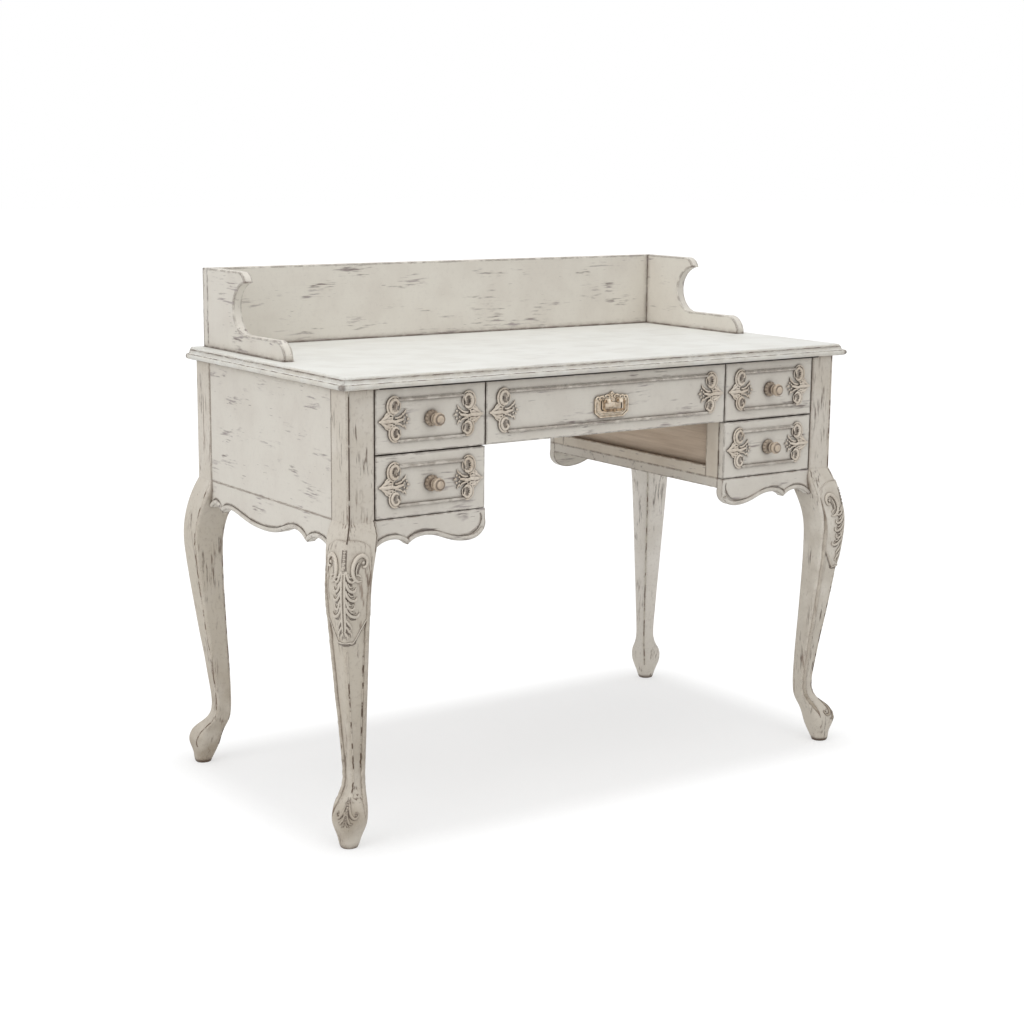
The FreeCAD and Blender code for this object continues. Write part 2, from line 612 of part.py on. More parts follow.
def carving(end_x, inward, middle_z):
    """Pair of scrolls with a leaf between them, near one end of a drawer front."""
    up = V(0, 0, 1)
    out = V(0, -1, 0)
    tip = V(end_x + inward * CARVING_TIP, FRONT_FACE_Y, middle_z)

    def at(along, height):
        return tip + V(inward * along, 0, 0) + up * height

    leaf_middle = LEAF_LENGTH / 2
    leaf = prism(
        [
            arc([at(0, 0), at(leaf_middle, LEAF_HALF_WIDTH), at(LEAF_LENGTH, 0)]),
            arc([at(LEAF_LENGTH, 0), at(leaf_middle, -LEAF_HALF_WIDTH), at(0, 0)]),
        ],
        out * LEAF_RELIEF,
    )
    pieces = []
    scroll_along = SCROLL_BACK + SCROLL_RADIUS
    for side in (1, -1):
        centre = at(scroll_along, side * SCROLL_RADIUS)
        hollow_centre = at(scroll_along + SCROLL_HOLLOW_SHIFT, side * SCROLL_RADIUS)
        round_body = Part.makeCylinder(SCROLL_RADIUS, CARVING_RELIEF, centre, out)
        hollow = Part.makeCylinder(SCROLL_HOLLOW_RADIUS, CARVING_RELIEF, hollow_centre, out)
        pieces.append(round_body.cut(hollow))
        for eye_side in (1, -1):
            eye = at(
                scroll_along + EYE_PLACE_SHARES[0] * SCROLL_RADIUS,
                side * SCROLL_RADIUS + eye_side * EYE_PLACE_SHARES[1] * SCROLL_RADIUS,
            )
            pieces.append(Part.makeCone(EYE_RADIUS, EYE_TOP_RADIUS, EYE_RELIEF, eye, out))
    return leaf.fuse(pieces)


def make_carvings(front_xs, front_zs):
    middle = (front_zs[0] + front_zs[1]) / 2
    return [carving(min(front_xs), 1, middle), carving(max(front_xs), -1, middle)]


def make_knob(middle_x, middle_z):
    """Turned knob with a tenon into the drawer front."""
    def place(share):
        return V(share[0] * KNOB_RADIUS, -share[1] * KNOB_PROJECTION, 0)

    foot = [place(share) for share in KNOB_FOOT_SHARES]
    neck = [place(share) for share in KNOB_NECK_SHARES]
    head = [place(share) for share in KNOB_HEAD_SHARES]
    tenon_end = V(KNOB_TENON_RADIUS, KNOB_TENON_LENGTH, 0)
    tenon_root = V(KNOB_TENON_RADIUS, 0, 0)
    axis_end = V(0, KNOB_TENON_LENGTH, 0)
    edges = [
        line(axis_end, tenon_end), line(tenon_end, tenon_root), line(tenon_root, foot[0]),
        line(foot[0], foot[1]), line(foot[1], foot[2]), spline(neck), spline(head),
        line(head[-1], axis_end),
    ]
    knob = Part.Face(Part.Wire(edges)).revolve(V(0, 0, 0), V(0, 1, 0), FULL_TURN)
    knob.translate(V(middle_x, FRONT_FACE_Y, middle_z))
    return knob


def knob_hole(middle_x, middle_z):
    start = V(middle_x, FRONT_FACE_Y - OVERRUN, middle_z)
    return Part.makeCylinder(KNOB_TENON_RADIUS, KNOB_TENON_LENGTH + OVERRUN, start, V(0, 1, 0))


# Centre pull

def pull_post_places(middle_z):
    plate_low = middle_z - PLATE_DROP - PLATE_HEIGHT / 2
    z = plate_low + PULL_POST_HEIGHT_SHARE * PLATE_HEIGHT
    return [V(side * PULL_POST_SPACING / 2, FRONT_FACE_Y, z) for side in (-1, 1)]


def pull_shank(place):
    return Part.makeCylinder(PULL_SHANK_RADIUS, PLATE_THICKNESS + DRAWER_FRONT_THICKNESS,
                             place - V(0, PLATE_THICKNESS, 0), V(0, 1, 0))


def make_pull_plate(middle_z):
    low = middle_z - PLATE_DROP - PLATE_HEIGHT / 2

    def place(share, side):
        return V(side * share[0] * PLATE_WIDTH, FRONT_FACE_Y, low + share[1] * PLATE_HEIGHT)

    edges = []
    for side in (1, -1):
        foot = [place(share, side) for share in PLATE_FOOT_SHARES]
        edges += [line(foot[i], foot[i + 1]) for i in range(len(foot) - 1)]
        edges.append(spline([place(share, side) for share in PLATE_CREST_SHARES]))
    plate = Part.Face(Part.Wire(Part.__sortEdges__(edges))).extrude(V(0, -PLATE_THICKNESS, 0))
    return plate.cut([pull_shank(place) for place in pull_post_places(middle_z)])


def make_pull_posts(middle_z):
    """Studs through the plate and the front, with a rounded head bored for the bail."""
    posts = []
    for place in pull_post_places(middle_z):
        root = place - V(0, PLATE_THICKNESS, 0)
        body_length = PULL_POST_REACH - PULL_POST_RADIUS
        body = Part.makeCylinder(PULL_POST_RADIUS, body_length, root, V(0, -1, 0))
        head = Part.makeSphere(PULL_POST_RADIUS, root - V(0, body_length, 0))
        bore_start = V(place.x - PULL_POST_RADIUS - OVERRUN, root.y - BAIL_OFFSET, place.z)
        bore_length = PULL_POST_RADIUS + PULL_POST_RADIUS + OVERRUN + OVERRUN
        bore = Part.makeCylinder(BAIL_RADIUS + BAIL_CLEARANCE, bore_length, bore_start, V(1, 0, 0))
        posts.append(fused(body, [head, pull_shank(place)]).cut(bore))
    return posts


def make_bail(middle_z):
    """Bent rod that hangs from the two posts, its ends turned in."""
    place = pull_post_places(middle_z)[1]
    y = place.y - PLATE_THICKNESS - BAIL_OFFSET
    arm_x = place.x + BAIL_OVERHANG
    pin_x = place.x - BAIL_PIN
    low = place.z - BAIL_DROP
    slack = BAIL_BEND * QUARTER_ARC_SHARE

    edges = []
    bar_ends = []
    for side in (-1, 1):
        pin = V(side * pin_x, y, place.z)
        upper_bend = [
            V(side * (arm_x - BAIL_BEND), y, place.z), V(side * (arm_x - slack), y, place.z - slack),
            V(side * arm_x, y, place.z - BAIL_BEND),
        ]
        lower_bend = [
            V(side * arm_x, y, low + BAIL_BEND), V(side * (arm_x - slack), y, low + slack),
            V(side * (arm_x - BAIL_BEND), y, low),
        ]
        edges += [line(pin, upper_bend[0]), arc(upper_bend)]
        edges += [line(upper_bend[-1], lower_bend[0]), arc(lower_bend)]
        bar_ends.append(lower_bend[-1])
    edges.append(line(*bar_ends))
    path = Part.Wire(Part.__sortEdges__(edges))
    section = Part.Wire(Part.makeCircle(BAIL_RADIUS, V(-pin_x, y, place.z), V(1, 0, 0)))
    return path.makePipeShell([section], True, False)


# Assembly

def make_frame():
    """Every piece of the desk that stays put, by name."""
    rear_blank = make_rear_leg_blank()
    front_leg = fused(rear_blank, [knee_field()])
    rear_leg = to_rear(rear_blank)
    side_panel, panel_tongues = make_side_panel()
    side_apron, apron_tongues = make_side_apron(front_leg, rear_leg)
    front_apron, front_tongue = make_front_apron(front_leg)
    rear_apron = to_rear(make_front_apron(rear_blank)[0])
    rear_tongue = to_rear(front_tongue)
    back_panel, panel_tongue = make_back_panel()
    back_rail, rail_tongue = make_back_rail()
    floor = make_floor(front_leg, rear_leg)
    stiles, rails, panel = make_partition()
    front_leg = front_leg.cut([panel_tongues[0], apron_tongues[0], front_tongue])
    rear_leg = rear_leg.cut([panel_tongues[1], apron_tongues[1], rear_tongue, panel_tongue, rail_tongue])
    runners = []
    for zs in (UPPER_Z, LOWER_Z):
        runners += [make_runner(POST_INNER_X, 1, zs), make_runner(PARTITION_X, -1, zs)]
    runners.append(make_runner(KNEE_X, 1, UPPER_Z))
    pieces = {"desk_top": [make_top()], "gallery_back": [make_gallery_back()], "back_rail": [back_rail]}
    left = {
        "gallery_side": make_gallery_side(), "leg_front": front_leg, "leg_rear": rear_leg,
        "side_panel": side_panel, "side_apron": side_apron, "front_apron": front_apron,
        "rear_apron": rear_apron, "partition_panel": panel, "pedestal_floor": floor, "back_panel": back_panel,
    }
    for name, shape in left.items():
        pieces[name + "_left"] = [shape]
        pieces[name + "_right"] = [to_right(shape)]
    alike = {
        "partition_stiles": stiles, "partition_top_rails": rails[:1], "partition_bottom_rails": rails[1:],
        "drawer_runners": runners, "top_blocks": make_blocks(),
    }
    for name, shapes in alike.items():
        pieces[name] = shapes + [to_right(shape) for shape in shapes]
    return pieces


def make_side_drawers():
    """The four drawers of the pedestals, by name."""
    front_xs = (POST_INNER_X + DRAWER_GAP, KNEE_X - DRAWER_GAP / 2)
    box_xs = (POST_INNER_X + DRAWER_SIDE_CLEARANCE, PARTITION_X - DRAWER_SIDE_CLEARANCE)
    middle_x = (front_xs[0] + front_xs[1]) / 2
    pieces = {}
    for row, zs in (("upper", UPPER_Z), ("lower", LOWER_Z)):
        middle_z = (zs[0] + zs[1]) / 2
        parts = make_drawer(front_xs, box_xs, zs, [knob_hole(middle_x, middle_z)])
        parts["carvings"] = make_carvings(front_xs, zs)
        parts["knob"] = make_knob(middle_x, middle_z)
        for part, shapes in parts.items():
            group = shapes if isinstance(shapes, list) else [shapes]
            pieces[f"{row}_left_{part}"] = group
            pieces[f"{row}_right_{part}"] = [to_right(shape) for shape in group]
    return pieces


def make_centre_drawer():
    """The wide drawer over the kneehole, with its pull, by name."""
    front_xs = (KNEE_X + DRAWER_GAP / 2, -KNEE_X - DRAWER_GAP / 2)
    box_xs = (KNEE_X + DRAWER_SIDE_CLEARANCE, -KNEE_X - DRAWER_SIDE_CLEARANCE)
    middle_z = (UPPER_Z[0] + UPPER_Z[1]) / 2
    holes = [pull_shank(place) for place in pull_post_places(middle_z)]
    parts = make_drawer(front_xs, box_xs, UPPER_Z, holes)
    parts["carvings"] = make_carvings(front_xs, UPPER_Z)
    parts["pull_plate"] = make_pull_plate(middle_z)
    parts["pull_posts"] = make_pull_posts(middle_z)
    parts["pull_bail"] = make_bail(middle_z)
    return {
        f"centre_{part}": shapes if isinstance(shapes, list) else [shapes] for part, shapes in parts.items()
    }


def main():
    os.makedirs("parts", exist_ok=True)
    pieces = {**make_frame(), **make_side_drawers(), **make_centre_drawer()}
    for name, shapes in sorted(pieces.items()):
        solids = [solid for shape in shapes for solid in shape.Solids]
        shape = solids[0] if len(solids) == 1 else Part.makeCompound(solids)
        shape.exportStep(f"parts/{name}.step")
        print(f"{name}: {len(solids)} solids, all valid: {all(solid.isValid() for solid in solids)}")


main()
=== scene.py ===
"""Looks of a distressed, painted writing desk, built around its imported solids."""
import logging
import math
from dataclasses import dataclass, field, replace
from enum import Enum
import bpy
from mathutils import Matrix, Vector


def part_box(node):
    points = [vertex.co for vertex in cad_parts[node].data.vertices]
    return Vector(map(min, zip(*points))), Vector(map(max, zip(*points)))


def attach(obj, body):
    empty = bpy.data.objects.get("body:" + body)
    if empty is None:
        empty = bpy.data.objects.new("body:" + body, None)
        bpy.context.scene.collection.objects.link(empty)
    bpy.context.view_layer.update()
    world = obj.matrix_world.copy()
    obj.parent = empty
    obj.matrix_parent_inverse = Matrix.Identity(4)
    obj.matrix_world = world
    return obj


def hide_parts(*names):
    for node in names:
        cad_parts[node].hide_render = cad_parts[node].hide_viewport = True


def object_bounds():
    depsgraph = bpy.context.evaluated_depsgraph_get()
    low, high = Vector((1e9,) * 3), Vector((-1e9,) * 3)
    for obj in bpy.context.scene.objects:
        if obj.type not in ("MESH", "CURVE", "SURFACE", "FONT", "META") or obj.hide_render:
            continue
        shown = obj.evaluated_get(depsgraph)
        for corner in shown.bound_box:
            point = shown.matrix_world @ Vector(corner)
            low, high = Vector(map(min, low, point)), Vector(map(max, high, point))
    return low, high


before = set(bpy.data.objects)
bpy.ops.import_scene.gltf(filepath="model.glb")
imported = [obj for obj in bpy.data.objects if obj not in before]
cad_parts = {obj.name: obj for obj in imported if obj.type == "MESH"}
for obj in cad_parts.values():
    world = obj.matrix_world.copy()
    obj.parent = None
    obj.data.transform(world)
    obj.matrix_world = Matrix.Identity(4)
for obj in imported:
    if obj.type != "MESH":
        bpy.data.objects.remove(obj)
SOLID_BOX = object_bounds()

from fnmatch import fnmatch
from functools import partial
from typing import Callable, ClassVar, Optional, Sequence, Union

import bpy
import numpy as np
from mathutils import Matrix, Vector
from mathutils.bvhtree import BVHTree

LOG = logging.getLogger("writing_desk")
MM = 0.001
HOLLOW = "hollow"
SIDE_DRAWERS = tuple(f"{row}_{side}" for row in ("upper", "lower") for side in ("left", "right"))
DRAWERS = (*SIDE_DRAWERS, "centre")
HALVES = (-1, 1)
MIRROR = Matrix.Scale(-1.0, 4, (1, 0, 0))
FRONT_LEG_RUN = (0.03, 0.769)
REAR_LEG_RUN = (0.03, 0.56)
Tone = tuple[float, float, float]
Span = tuple[float, float]
Point = tuple[float, ...]
Row = tuple[Point, ...]
Rows = tuple[Row, ...]
Piece = bpy.types.Object
Material = bpy.types.Material
Socket = bpy.types.NodeSocket
Value = Union[float, Tone, Socket]


class Grain(Enum):
    """Way that brush marks and wood fibres run on a board."""

    LONG = (1, 0, 0)
    DEEP = (0, 1, 0)
    UPRIGHT = (0, 0, 1)

    def squeezed(self, share: float) -> Tone:
        """Coordinate scale that draws a pattern out along the grain."""
        return tuple(share if along else 1.0 for along in self.value)


@dataclass(frozen=True)
class Cloud:
    """Cloudy pattern: marks per metre, finer layers, their strength and the soft step that cuts it."""

    scale: float
    detail: float = 2.0
    rough: float = 0.5
    cut: Span = (0.0, 1.0)


class Nodes:
    """Node tree, with short ways to add nodes and join them."""

    MIX_FIRST, MIX_SECOND, MIX_RESULT = 6, 7, 2

    def __init__(self, tree: bpy.types.NodeTree) -> None:
        """Takes a tree on."""
        self.tree = tree

    def feed(self, socket: Socket, value: Value) -> None:
        """Joins a socket to another or sets its constant.

        Args:
            socket: the input to fill.
            value: an output socket, a number or a colour.
        """
        if isinstance(value, bpy.types.NodeSocket):
            self.tree.links.new(value, socket)
        elif isinstance(value, tuple) and socket.type == "RGBA":
            socket.default_value = (*value, 1.0)
        else:
            socket.default_value = value

    def node(self, kind: str, feeds: dict[Union[str, int], Value], **settings: object) -> bpy.types.Node:
        """Adds a node.

        Args:
            kind: the node's type name.
            feeds: what goes into its inputs, by name or number.
            settings: properties to set on it.

        Returns:
            The new node.
        """
        node = self.tree.nodes.new(kind)
        for name, value in settings.items():
            setattr(node, name, value)
        for key, value in feeds.items():
            self.feed(node.inputs[key], value)
        return node

    def maths(self, operation: str, first: Value, second: Value) -> Socket:
        """One sum of two values."""
        return self.node("ShaderNodeMath", {0: first, 1: second}, operation=operation).outputs[0]

    def step(self, value: Socket, low: float, high: float) -> Socket:
        """Soft step from 0 at `low` to 1 at `high`."""
        feeds = {"Value": value, "From Min": low, "From Max": high}
        return self.node("ShaderNodeMapRange", feeds, interpolation_type="SMOOTHSTEP").outputs["Result"]

    def blend(self, share: Value, first: Value, second: Value) -> Socket:
        """Mix of two colours, all of the second where the share is 1."""
        feeds = {0: share, self.MIX_FIRST: first, self.MIX_SECOND: second}
        return self.node("ShaderNodeMix", feeds, data_type="RGBA").outputs[self.MIX_RESULT]

    def coat(self, under: Value, mask: Value, over: Value, share: float) -> Socket:
        """Lays a colour over another where a mask shows it, with a share of its strength."""
        return self.blend(self.maths("MULTIPLY", mask, share), under, over)

    def axes(self, vector: Socket) -> bpy.types.NodeOutputs:
        """X, Y and Z of a vector."""
        return self.node("ShaderNodeSeparateXYZ", {0: vector}).outputs


class Shader(Nodes):
    """Material with a principled surface and patterns in object coordinates."""

    CLOSENESS_SAMPLES = 3

    def __init__(self, name: str) -> None:
        """Starts the material.

        Args:
            name: the material's name.
        """
        self.material = bpy.data.materials.new(name)
        self.material.use_nodes = True
        super().__init__(self.material.node_tree)
        self.surface = self.tree.nodes["Principled BSDF"]
        self.coords = self.node("ShaderNodeTexCoord", {}).outputs["Object"]

    def place(self, scale: Tone, shift: Tone = (0.0, 0.0, 0.0)) -> Socket:
        """Object coordinates, scaled and shifted."""
        feeds = {"Vector": self.coords, "Scale": scale, "Location": shift}
        return self.node("ShaderNodeMapping", feeds).outputs["Vector"]

    def noise(self, coords: Socket, cloud: Cloud) -> Socket:
        """Cloudy pattern, about 0.5 in the middle."""
        feeds = {"Vector": coords, "Scale": cloud.scale, "Detail": cloud.detail, "Roughness": cloud.rough}
        return self.node("ShaderNodeTexNoise", feeds).outputs["Fac"]

    def mask(self, coords: Socket, cloud: Cloud) -> Socket:
        """Cloudy pattern, cut by its soft step."""
        return self.step(self.noise(coords, cloud), *cloud.cut)

    def closeness(self, reach: float, inside: bool) -> Socket:
        """1 in the open and less near other faces: in hollows, or at edges where it looks inside the wood."""
        settings = {"samples": self.CLOSENESS_SAMPLES, "inside": inside, "only_local": inside}
        return self.node("ShaderNodeAmbientOcclusion", {"Distance": reach}, **settings).outputs["AO"]

    def marked(self) -> Socket:
        """Depth that a carved mesh stores on its points."""
        return self.node("ShaderNodeAttribute", {}, attribute_name=HOLLOW).outputs["Fac"]

    def bump(self, height: Socket, strength: float, depth: float) -> None:
        """Roughens the surface with a pattern."""
        node = self.node("ShaderNodeBump", {"Height": height, "Strength": strength, "Distance": depth})
        self.feed(self.surface.inputs["Normal"], node.outputs["Normal"])

    def finish(self, colour: Socket, roughness: float, metallic: float = 0.0) -> Material:
        """Fills the surface and hands over the material.

        Args:
            colour: base colour.
            roughness: 0 for a mirror, 1 for matt.
            metallic: 1 for metal.

        Returns:
            The finished material.
        """
        for name, value in (("Base Color", colour), ("Roughness", roughness), ("Metallic", metallic)):
            self.feed(self.surface.inputs[name], value)
        return self.material


def tone(red: float, green: float, blue: float) -> Tone:
    """Linear colour of a tone as it looks on a screen, 0 to 255 each."""
    shares = (part / 255 for part in (red, green, blue))
    return tuple(share / 12.92 if share <= 0.04045 else ((share + 0.055) / 1.055) ** 2.4 for share in shares)


@dataclass(frozen=True)
class PaintFinish:
    """Old off-white paint: brushed, streaked with wear, brown with glaze and painted shade in its hollows and
    creases, and with its own edge colour: rubbed wear, painted shade on drawer fronts, painted highlight on
    carvings and knobs.

    The body's tone lies on level faces and the rim's on upright ones; where they differ, as on the top, this
    is painted light and shade. Foot, pad and sole follow further down.
    """

    BRUSHED: ClassVar[float] = 0.02
    PATCHED: ClassVar[float] = 0.35
    PATCH_SHIFT: ClassVar[Tone] = (3.1, 1.7, 0.4)
    LEVEL_STEP: ClassVar[Span] = (0.97, 0.6)
    CLOUDS: ClassVar[Cloud] = Cloud(14.0, 3.0, cut=(0.35, 0.7))
    FIBRES: ClassVar[Cloud] = Cloud(520.0, 3.0, 0.6, (0.5, 0.75))
    FIBRE_SHARE: ClassVar[float] = 0.35
    FIBRE_RISE: ClassVar[float] = 0.5
    SPECKS: ClassVar[Cloud] = Cloud(420.0, 1.0, cut=(0.7, 0.76))
    SPECK_FIELDS: ClassVar[Cloud] = Cloud(26.0, cut=(0.52, 0.62))
    WEAR_DEPTH: ClassVar[Cloud] = Cloud(60.0, cut=(0.42, 0.62))
    RAGGED: ClassVar[Cloud] = Cloud(60.0, 3.0, 0.6, (0.32, 0.58))
    GLAZE_AND_SHADE_BREAKS: ClassVar[Cloud] = Cloud(55.0, cut=(0.2, 0.6))
    CREASE_BREAKS: ClassVar[Cloud] = Cloud(90.0, cut=(0.1, 0.5))
    CORNER_ACROSS: ClassVar[Span] = (0.5485, 0.5555)
    CORNER_DEEP: ClassVar[Span] = (0.2725, 0.2795)
    CORNER_BREAKS: ClassVar[Cloud] = Cloud(130.0, cut=(0.25, 0.45))
    BUMP: ClassVar[Span] = (0.35, 0.0006)

    name: str = "old_paint"
    body: Tone = tone(217, 212, 202)
    shade: Tone = tone(211, 205, 195)
    rim: Tone = tone(217, 212, 202)
    foot: Tone = tone(217, 212, 202)
    foot_step: Span = (0.57, 0.44)
    pad: Tone = tone(217, 212, 202)
    pad_step: Span = (0.3, 0.02)
    sole: Tone = tone(60, 48, 38)
    sole_step: Span = (0.008, 0.003)
    worn: Tone = tone(156, 146, 144)
    worn_deep: Tone = tone(106, 93, 89)
    stretch: float = 0.09
    streaks: Cloud = Cloud(230.0, 4.0, 0.62, (0.5, 0.64))
    patches: Cloud = Cloud(30.0, 3.0, 0.6, (0.54, 0.655))
    wear_share: float = 0.9
    mottle: Cloud = Cloud(150.0, 4.0, 0.7, (0.5, 0.72))
    mottle_share: float = 0.1
    edge: Tone = tone(104, 84, 68)
    edge_reach: float = 0.003
    edge_step: Span = (0.97, 0.7)
    edge_share: float = 0.8
    corner_wear: bool = False
    # glaze: brown glaze in hollows and where parts meet, its darkness there partly painted shade
    glaze: Tone = tone(104, 80, 60)
    glaze_and_shade_reach: float = 0.012
    glaze_and_shade_step: Span = (0.86, 0.4)
    glaze_and_shade_share: float = 0.75
    crease: Tone = tone(58, 43, 32)
    crease_reach: float = 0.005
    crease_step: Span = (0.8, 0.5)
    crease_share: float = 0.75
    roughness: float = 0.55

    def ground(self, s: Shader) -> Socket:
        """Paint before wear, by the way that a face looks and by its height.

        Args:
            s: the shader.

        Returns:
            The colour.
        """
        normal = s.node("ShaderNodeNewGeometry", {}).outputs["Normal"]
        height = s.axes(s.coords)["Z"]
        # Level and upright faces apart: on the top this paints light onto level faces and shade onto upright
        # ones
        colour = s.blend(s.step(s.axes(normal)["Z"], *self.LEVEL_STEP), self.body, self.rim)
        bands = ((self.foot_step, self.foot), (self.pad_step, self.pad), (self.sole_step, self.sole))
        for span, other in bands:
            colour = s.blend(s.step(height, *span), colour, other)
        return colour

    def wear(self, s: Shader, drawn: Socket, grain: Grain) -> Socket:
        """Mask of streaks in worn patches, and of single specks.

        Args:
            s: the shader.
            drawn: coordinates drawn out along the grain.
            grain: way of the brush marks.

        Returns:
            1 where the paint is off.
        """
        patchy = s.place(grain.squeezed(self.PATCHED), self.PATCH_SHIFT)
        streaks = s.maths("MULTIPLY", s.mask(drawn, self.streaks), s.mask(patchy, self.patches))
        specks = s.maths("MULTIPLY", s.mask(drawn, self.SPECKS), s.mask(s.coords, self.SPECK_FIELDS))
        return s.maths("MULTIPLY", s.maths("MAXIMUM", streaks, specks), self.wear_share)

    def edges(self, s: Shader) -> Socket:
        """Mask of the edges, and of the top's four corners where they are worn. The edge colour is rubbed
        wear on most paints, painted shade along the drawer gaps and a painted highlight on carvings and
        knobs.

        Args:
            s: the shader.

        Returns:
            1 at a rubbed edge.
        """
        near = s.step(s.closeness(self.edge_reach, True), *self.edge_step)
        edges = s.maths("MULTIPLY", near, s.mask(s.coords, self.RAGGED))
        if not self.corner_wear:
            return edges
        place = s.axes(s.coords)
        across, deep = (s.step(s.maths("ABSOLUTE", place[axis], 0.0), *span)
                        for axis, span in (("X", self.CORNER_ACROSS), ("Y", self.CORNER_DEEP)))
        corners = s.maths("MULTIPLY", s.maths("MULTIPLY", across, deep), s.mask(s.coords, self.CORNER_BREAKS))
        return s.maths("MAXIMUM", edges, corners)

    def make(self, grain: Grain) -> Material:
        """Makes the material for boards of one grain.

        Args:
            grain: way of the brush marks.

        Returns:
            The material.
        """
        s = Shader(f"{self.name}_{grain.name.lower()}")
        drawn = s.place(grain.squeezed(self.stretch))
        fibres = s.noise(s.place(grain.squeezed(self.BRUSHED)), self.FIBRES)
        worn = self.wear(s, drawn, grain)
        # Glaze near other faces, in hollows and where parts meet: partly glaze, partly painted shade
        hollows = s.step(s.closeness(self.glaze_and_shade_reach, False), *self.glaze_and_shade_step)
        glaze_and_shade_mask = s.maths("MULTIPLY", hollows, s.mask(s.coords, self.GLAZE_AND_SHADE_BREAKS))
        # Creases and the hollows marked on carved meshes: glaze darkened much further as painted shade
        creases = s.step(s.closeness(self.crease_reach, False), *self.crease_step)
        creases = s.maths("MAXIMUM", creases, s.marked())
        creases = s.maths("MULTIPLY", creases, s.mask(s.coords, self.CREASE_BREAKS))
        colour = s.blend(s.mask(s.coords, self.CLOUDS), self.ground(s), self.shade)
        for mask, over, share in (
                (s.step(fibres, *self.FIBRES.cut), self.shade, self.FIBRE_SHARE),
                (s.mask(s.coords, self.mottle), self.worn, self.mottle_share),
                (glaze_and_shade_mask, self.glaze, self.glaze_and_shade_share), (creases, self.crease, self.crease_share),
                (self.edges(s), self.edge, self.edge_share)):
            colour = s.coat(colour, mask, over, share)
        colour = s.blend(worn, colour, s.blend(s.mask(drawn, self.WEAR_DEPTH), self.worn, self.worn_deep))
        s.bump(s.maths("SUBTRACT", s.maths("MULTIPLY", fibres, self.FIBRE_RISE), worn), *self.BUMP)
        return s.finish(colour, self.roughness)


@dataclass(frozen=True)
class RawWoodFinish:
    """Bare, dusty wood with long fibres, darkened as painted shade in its corners and near other parts."""

    FIBRES: ClassVar[Cloud] = Cloud(260.0, 4.0, 0.65)
    FIBRE_STRETCH: ClassVar[float] = 0.03
    FIBRE_SHARE: ClassVar[float] = 0.35
    FIGURE: ClassVar[Cloud] = Cloud(34.0, 3.0)
    FIGURE_STRETCH: ClassVar[float] = 0.12
    FIGURE_SHARE: ClassVar[float] = 0.65
    TONE_STEP: ClassVar[Span] = (0.3, 0.72)
    BUMP: ClassVar[Span] = (0.3, 0.0005)

    name: str = "raw_wood"
    pale: Tone = tone(222, 207, 189)
    dark: Tone = tone(184, 165, 145)
    corner: Tone = tone(74, 52, 36)
    reach: float = 0.036
    corner_step: Span = (0.82, 0.38)
    roughness: float = 0.75

    def make(self, grain: Grain) -> Material:
        """Makes the material for boards of one grain.

        Args:
            grain: way of the fibres.

        Returns:
            The material.
        """
        s = Shader(f"{self.name}_{grain.name.lower()}")
        fibres = s.noise(s.place(grain.squeezed(self.FIBRE_STRETCH)), self.FIBRES)
        figure = s.noise(s.place(grain.squeezed(self.FIGURE_STRETCH)), self.FIGURE)
        mix = s.maths("ADD", s.maths("MULTIPLY", fibres, self.FIBRE_SHARE),
                      s.maths("MULTIPLY", figure, self.FIGURE_SHARE))
        colour = s.blend(s.step(mix, *self.TONE_STEP), self.pale, self.dark)
        # Painted shade in corners and near other parts
        colour = s.blend(s.step(s.closeness(self.reach, False), *self.corner_step), colour, self.corner)
        s.bump(fibres, *self.BUMP)
        return s.finish(colour, self.roughness)


@dataclass(frozen=True)
class BrassFinish:
    """Cast brass, rubbed pale on its high spots and dark in its hollows, as oxide, and painted dark as
    painted shadow on the low grounds marked in its mesh.
    """

    RUBBING: ClassVar[Cloud] = Cloud(160.0, 3.0, cut=(0.4, 0.65))
    HOLLOW_STEP: ClassVar[Span] = (0.88, 0.5)
    MARK_STEP: ClassVar[Span] = (0.15, 0.62)
    CASTING: ClassVar[Cloud] = Cloud(700.0)
    BUMP: ClassVar[Span] = (0.12, 0.0003)

    name: str = "aged_brass"
    rubbed: Tone = tone(238, 224, 204)
    dull: Tone = tone(208, 188, 162)
    dark: Tone = tone(46, 33, 22)
    reach: float = 0.0024
    roughness: float = 0.45
    metallic: float = 0.25

    def make(self) -> Material:
        """Makes the material.

        Returns:
            The material.
        """
        s = Shader(self.name)
        colour = s.blend(s.mask(s.coords, self.RUBBING), self.rubbed, self.dull)
        hollows = s.step(s.closeness(self.reach, False), *self.HOLLOW_STEP)
        # Low grounds marked in the mesh: painted shadow, such as behind the bail
        marked = s.step(s.marked(), *self.MARK_STEP)
        colour = s.blend(s.maths("MAXIMUM", hollows, marked), colour, self.dark)
        s.bump(s.noise(s.coords, self.CASTING), *self.BUMP)
        return s.finish(colour, self.roughness, self.metallic)


@dataclass(frozen=True)
class SeamFinish:
    """Brown glaze caught in the joints between boards and along edges, with breaks."""

    BREAKS: ClassVar[Cloud] = Cloud(45.0, 3.0, 0.6)

    name: str
    dark: Tone = tone(92, 74, 60)
    pale: Tone = tone(204, 198, 187)
    breaks: Span = (0.5, 0.66)
    roughness: float = 0.7

    def make(self) -> Material:
        """Makes the material.

        Returns:
            The material.
        """
        s = Shader(self.name)
        broken = s.mask(s.coords, replace(self.BREAKS, cut=self.breaks))
        return s.finish(s.blend(broken, self.dark, self.pale), self.roughness)


PAINT = PaintFinish()
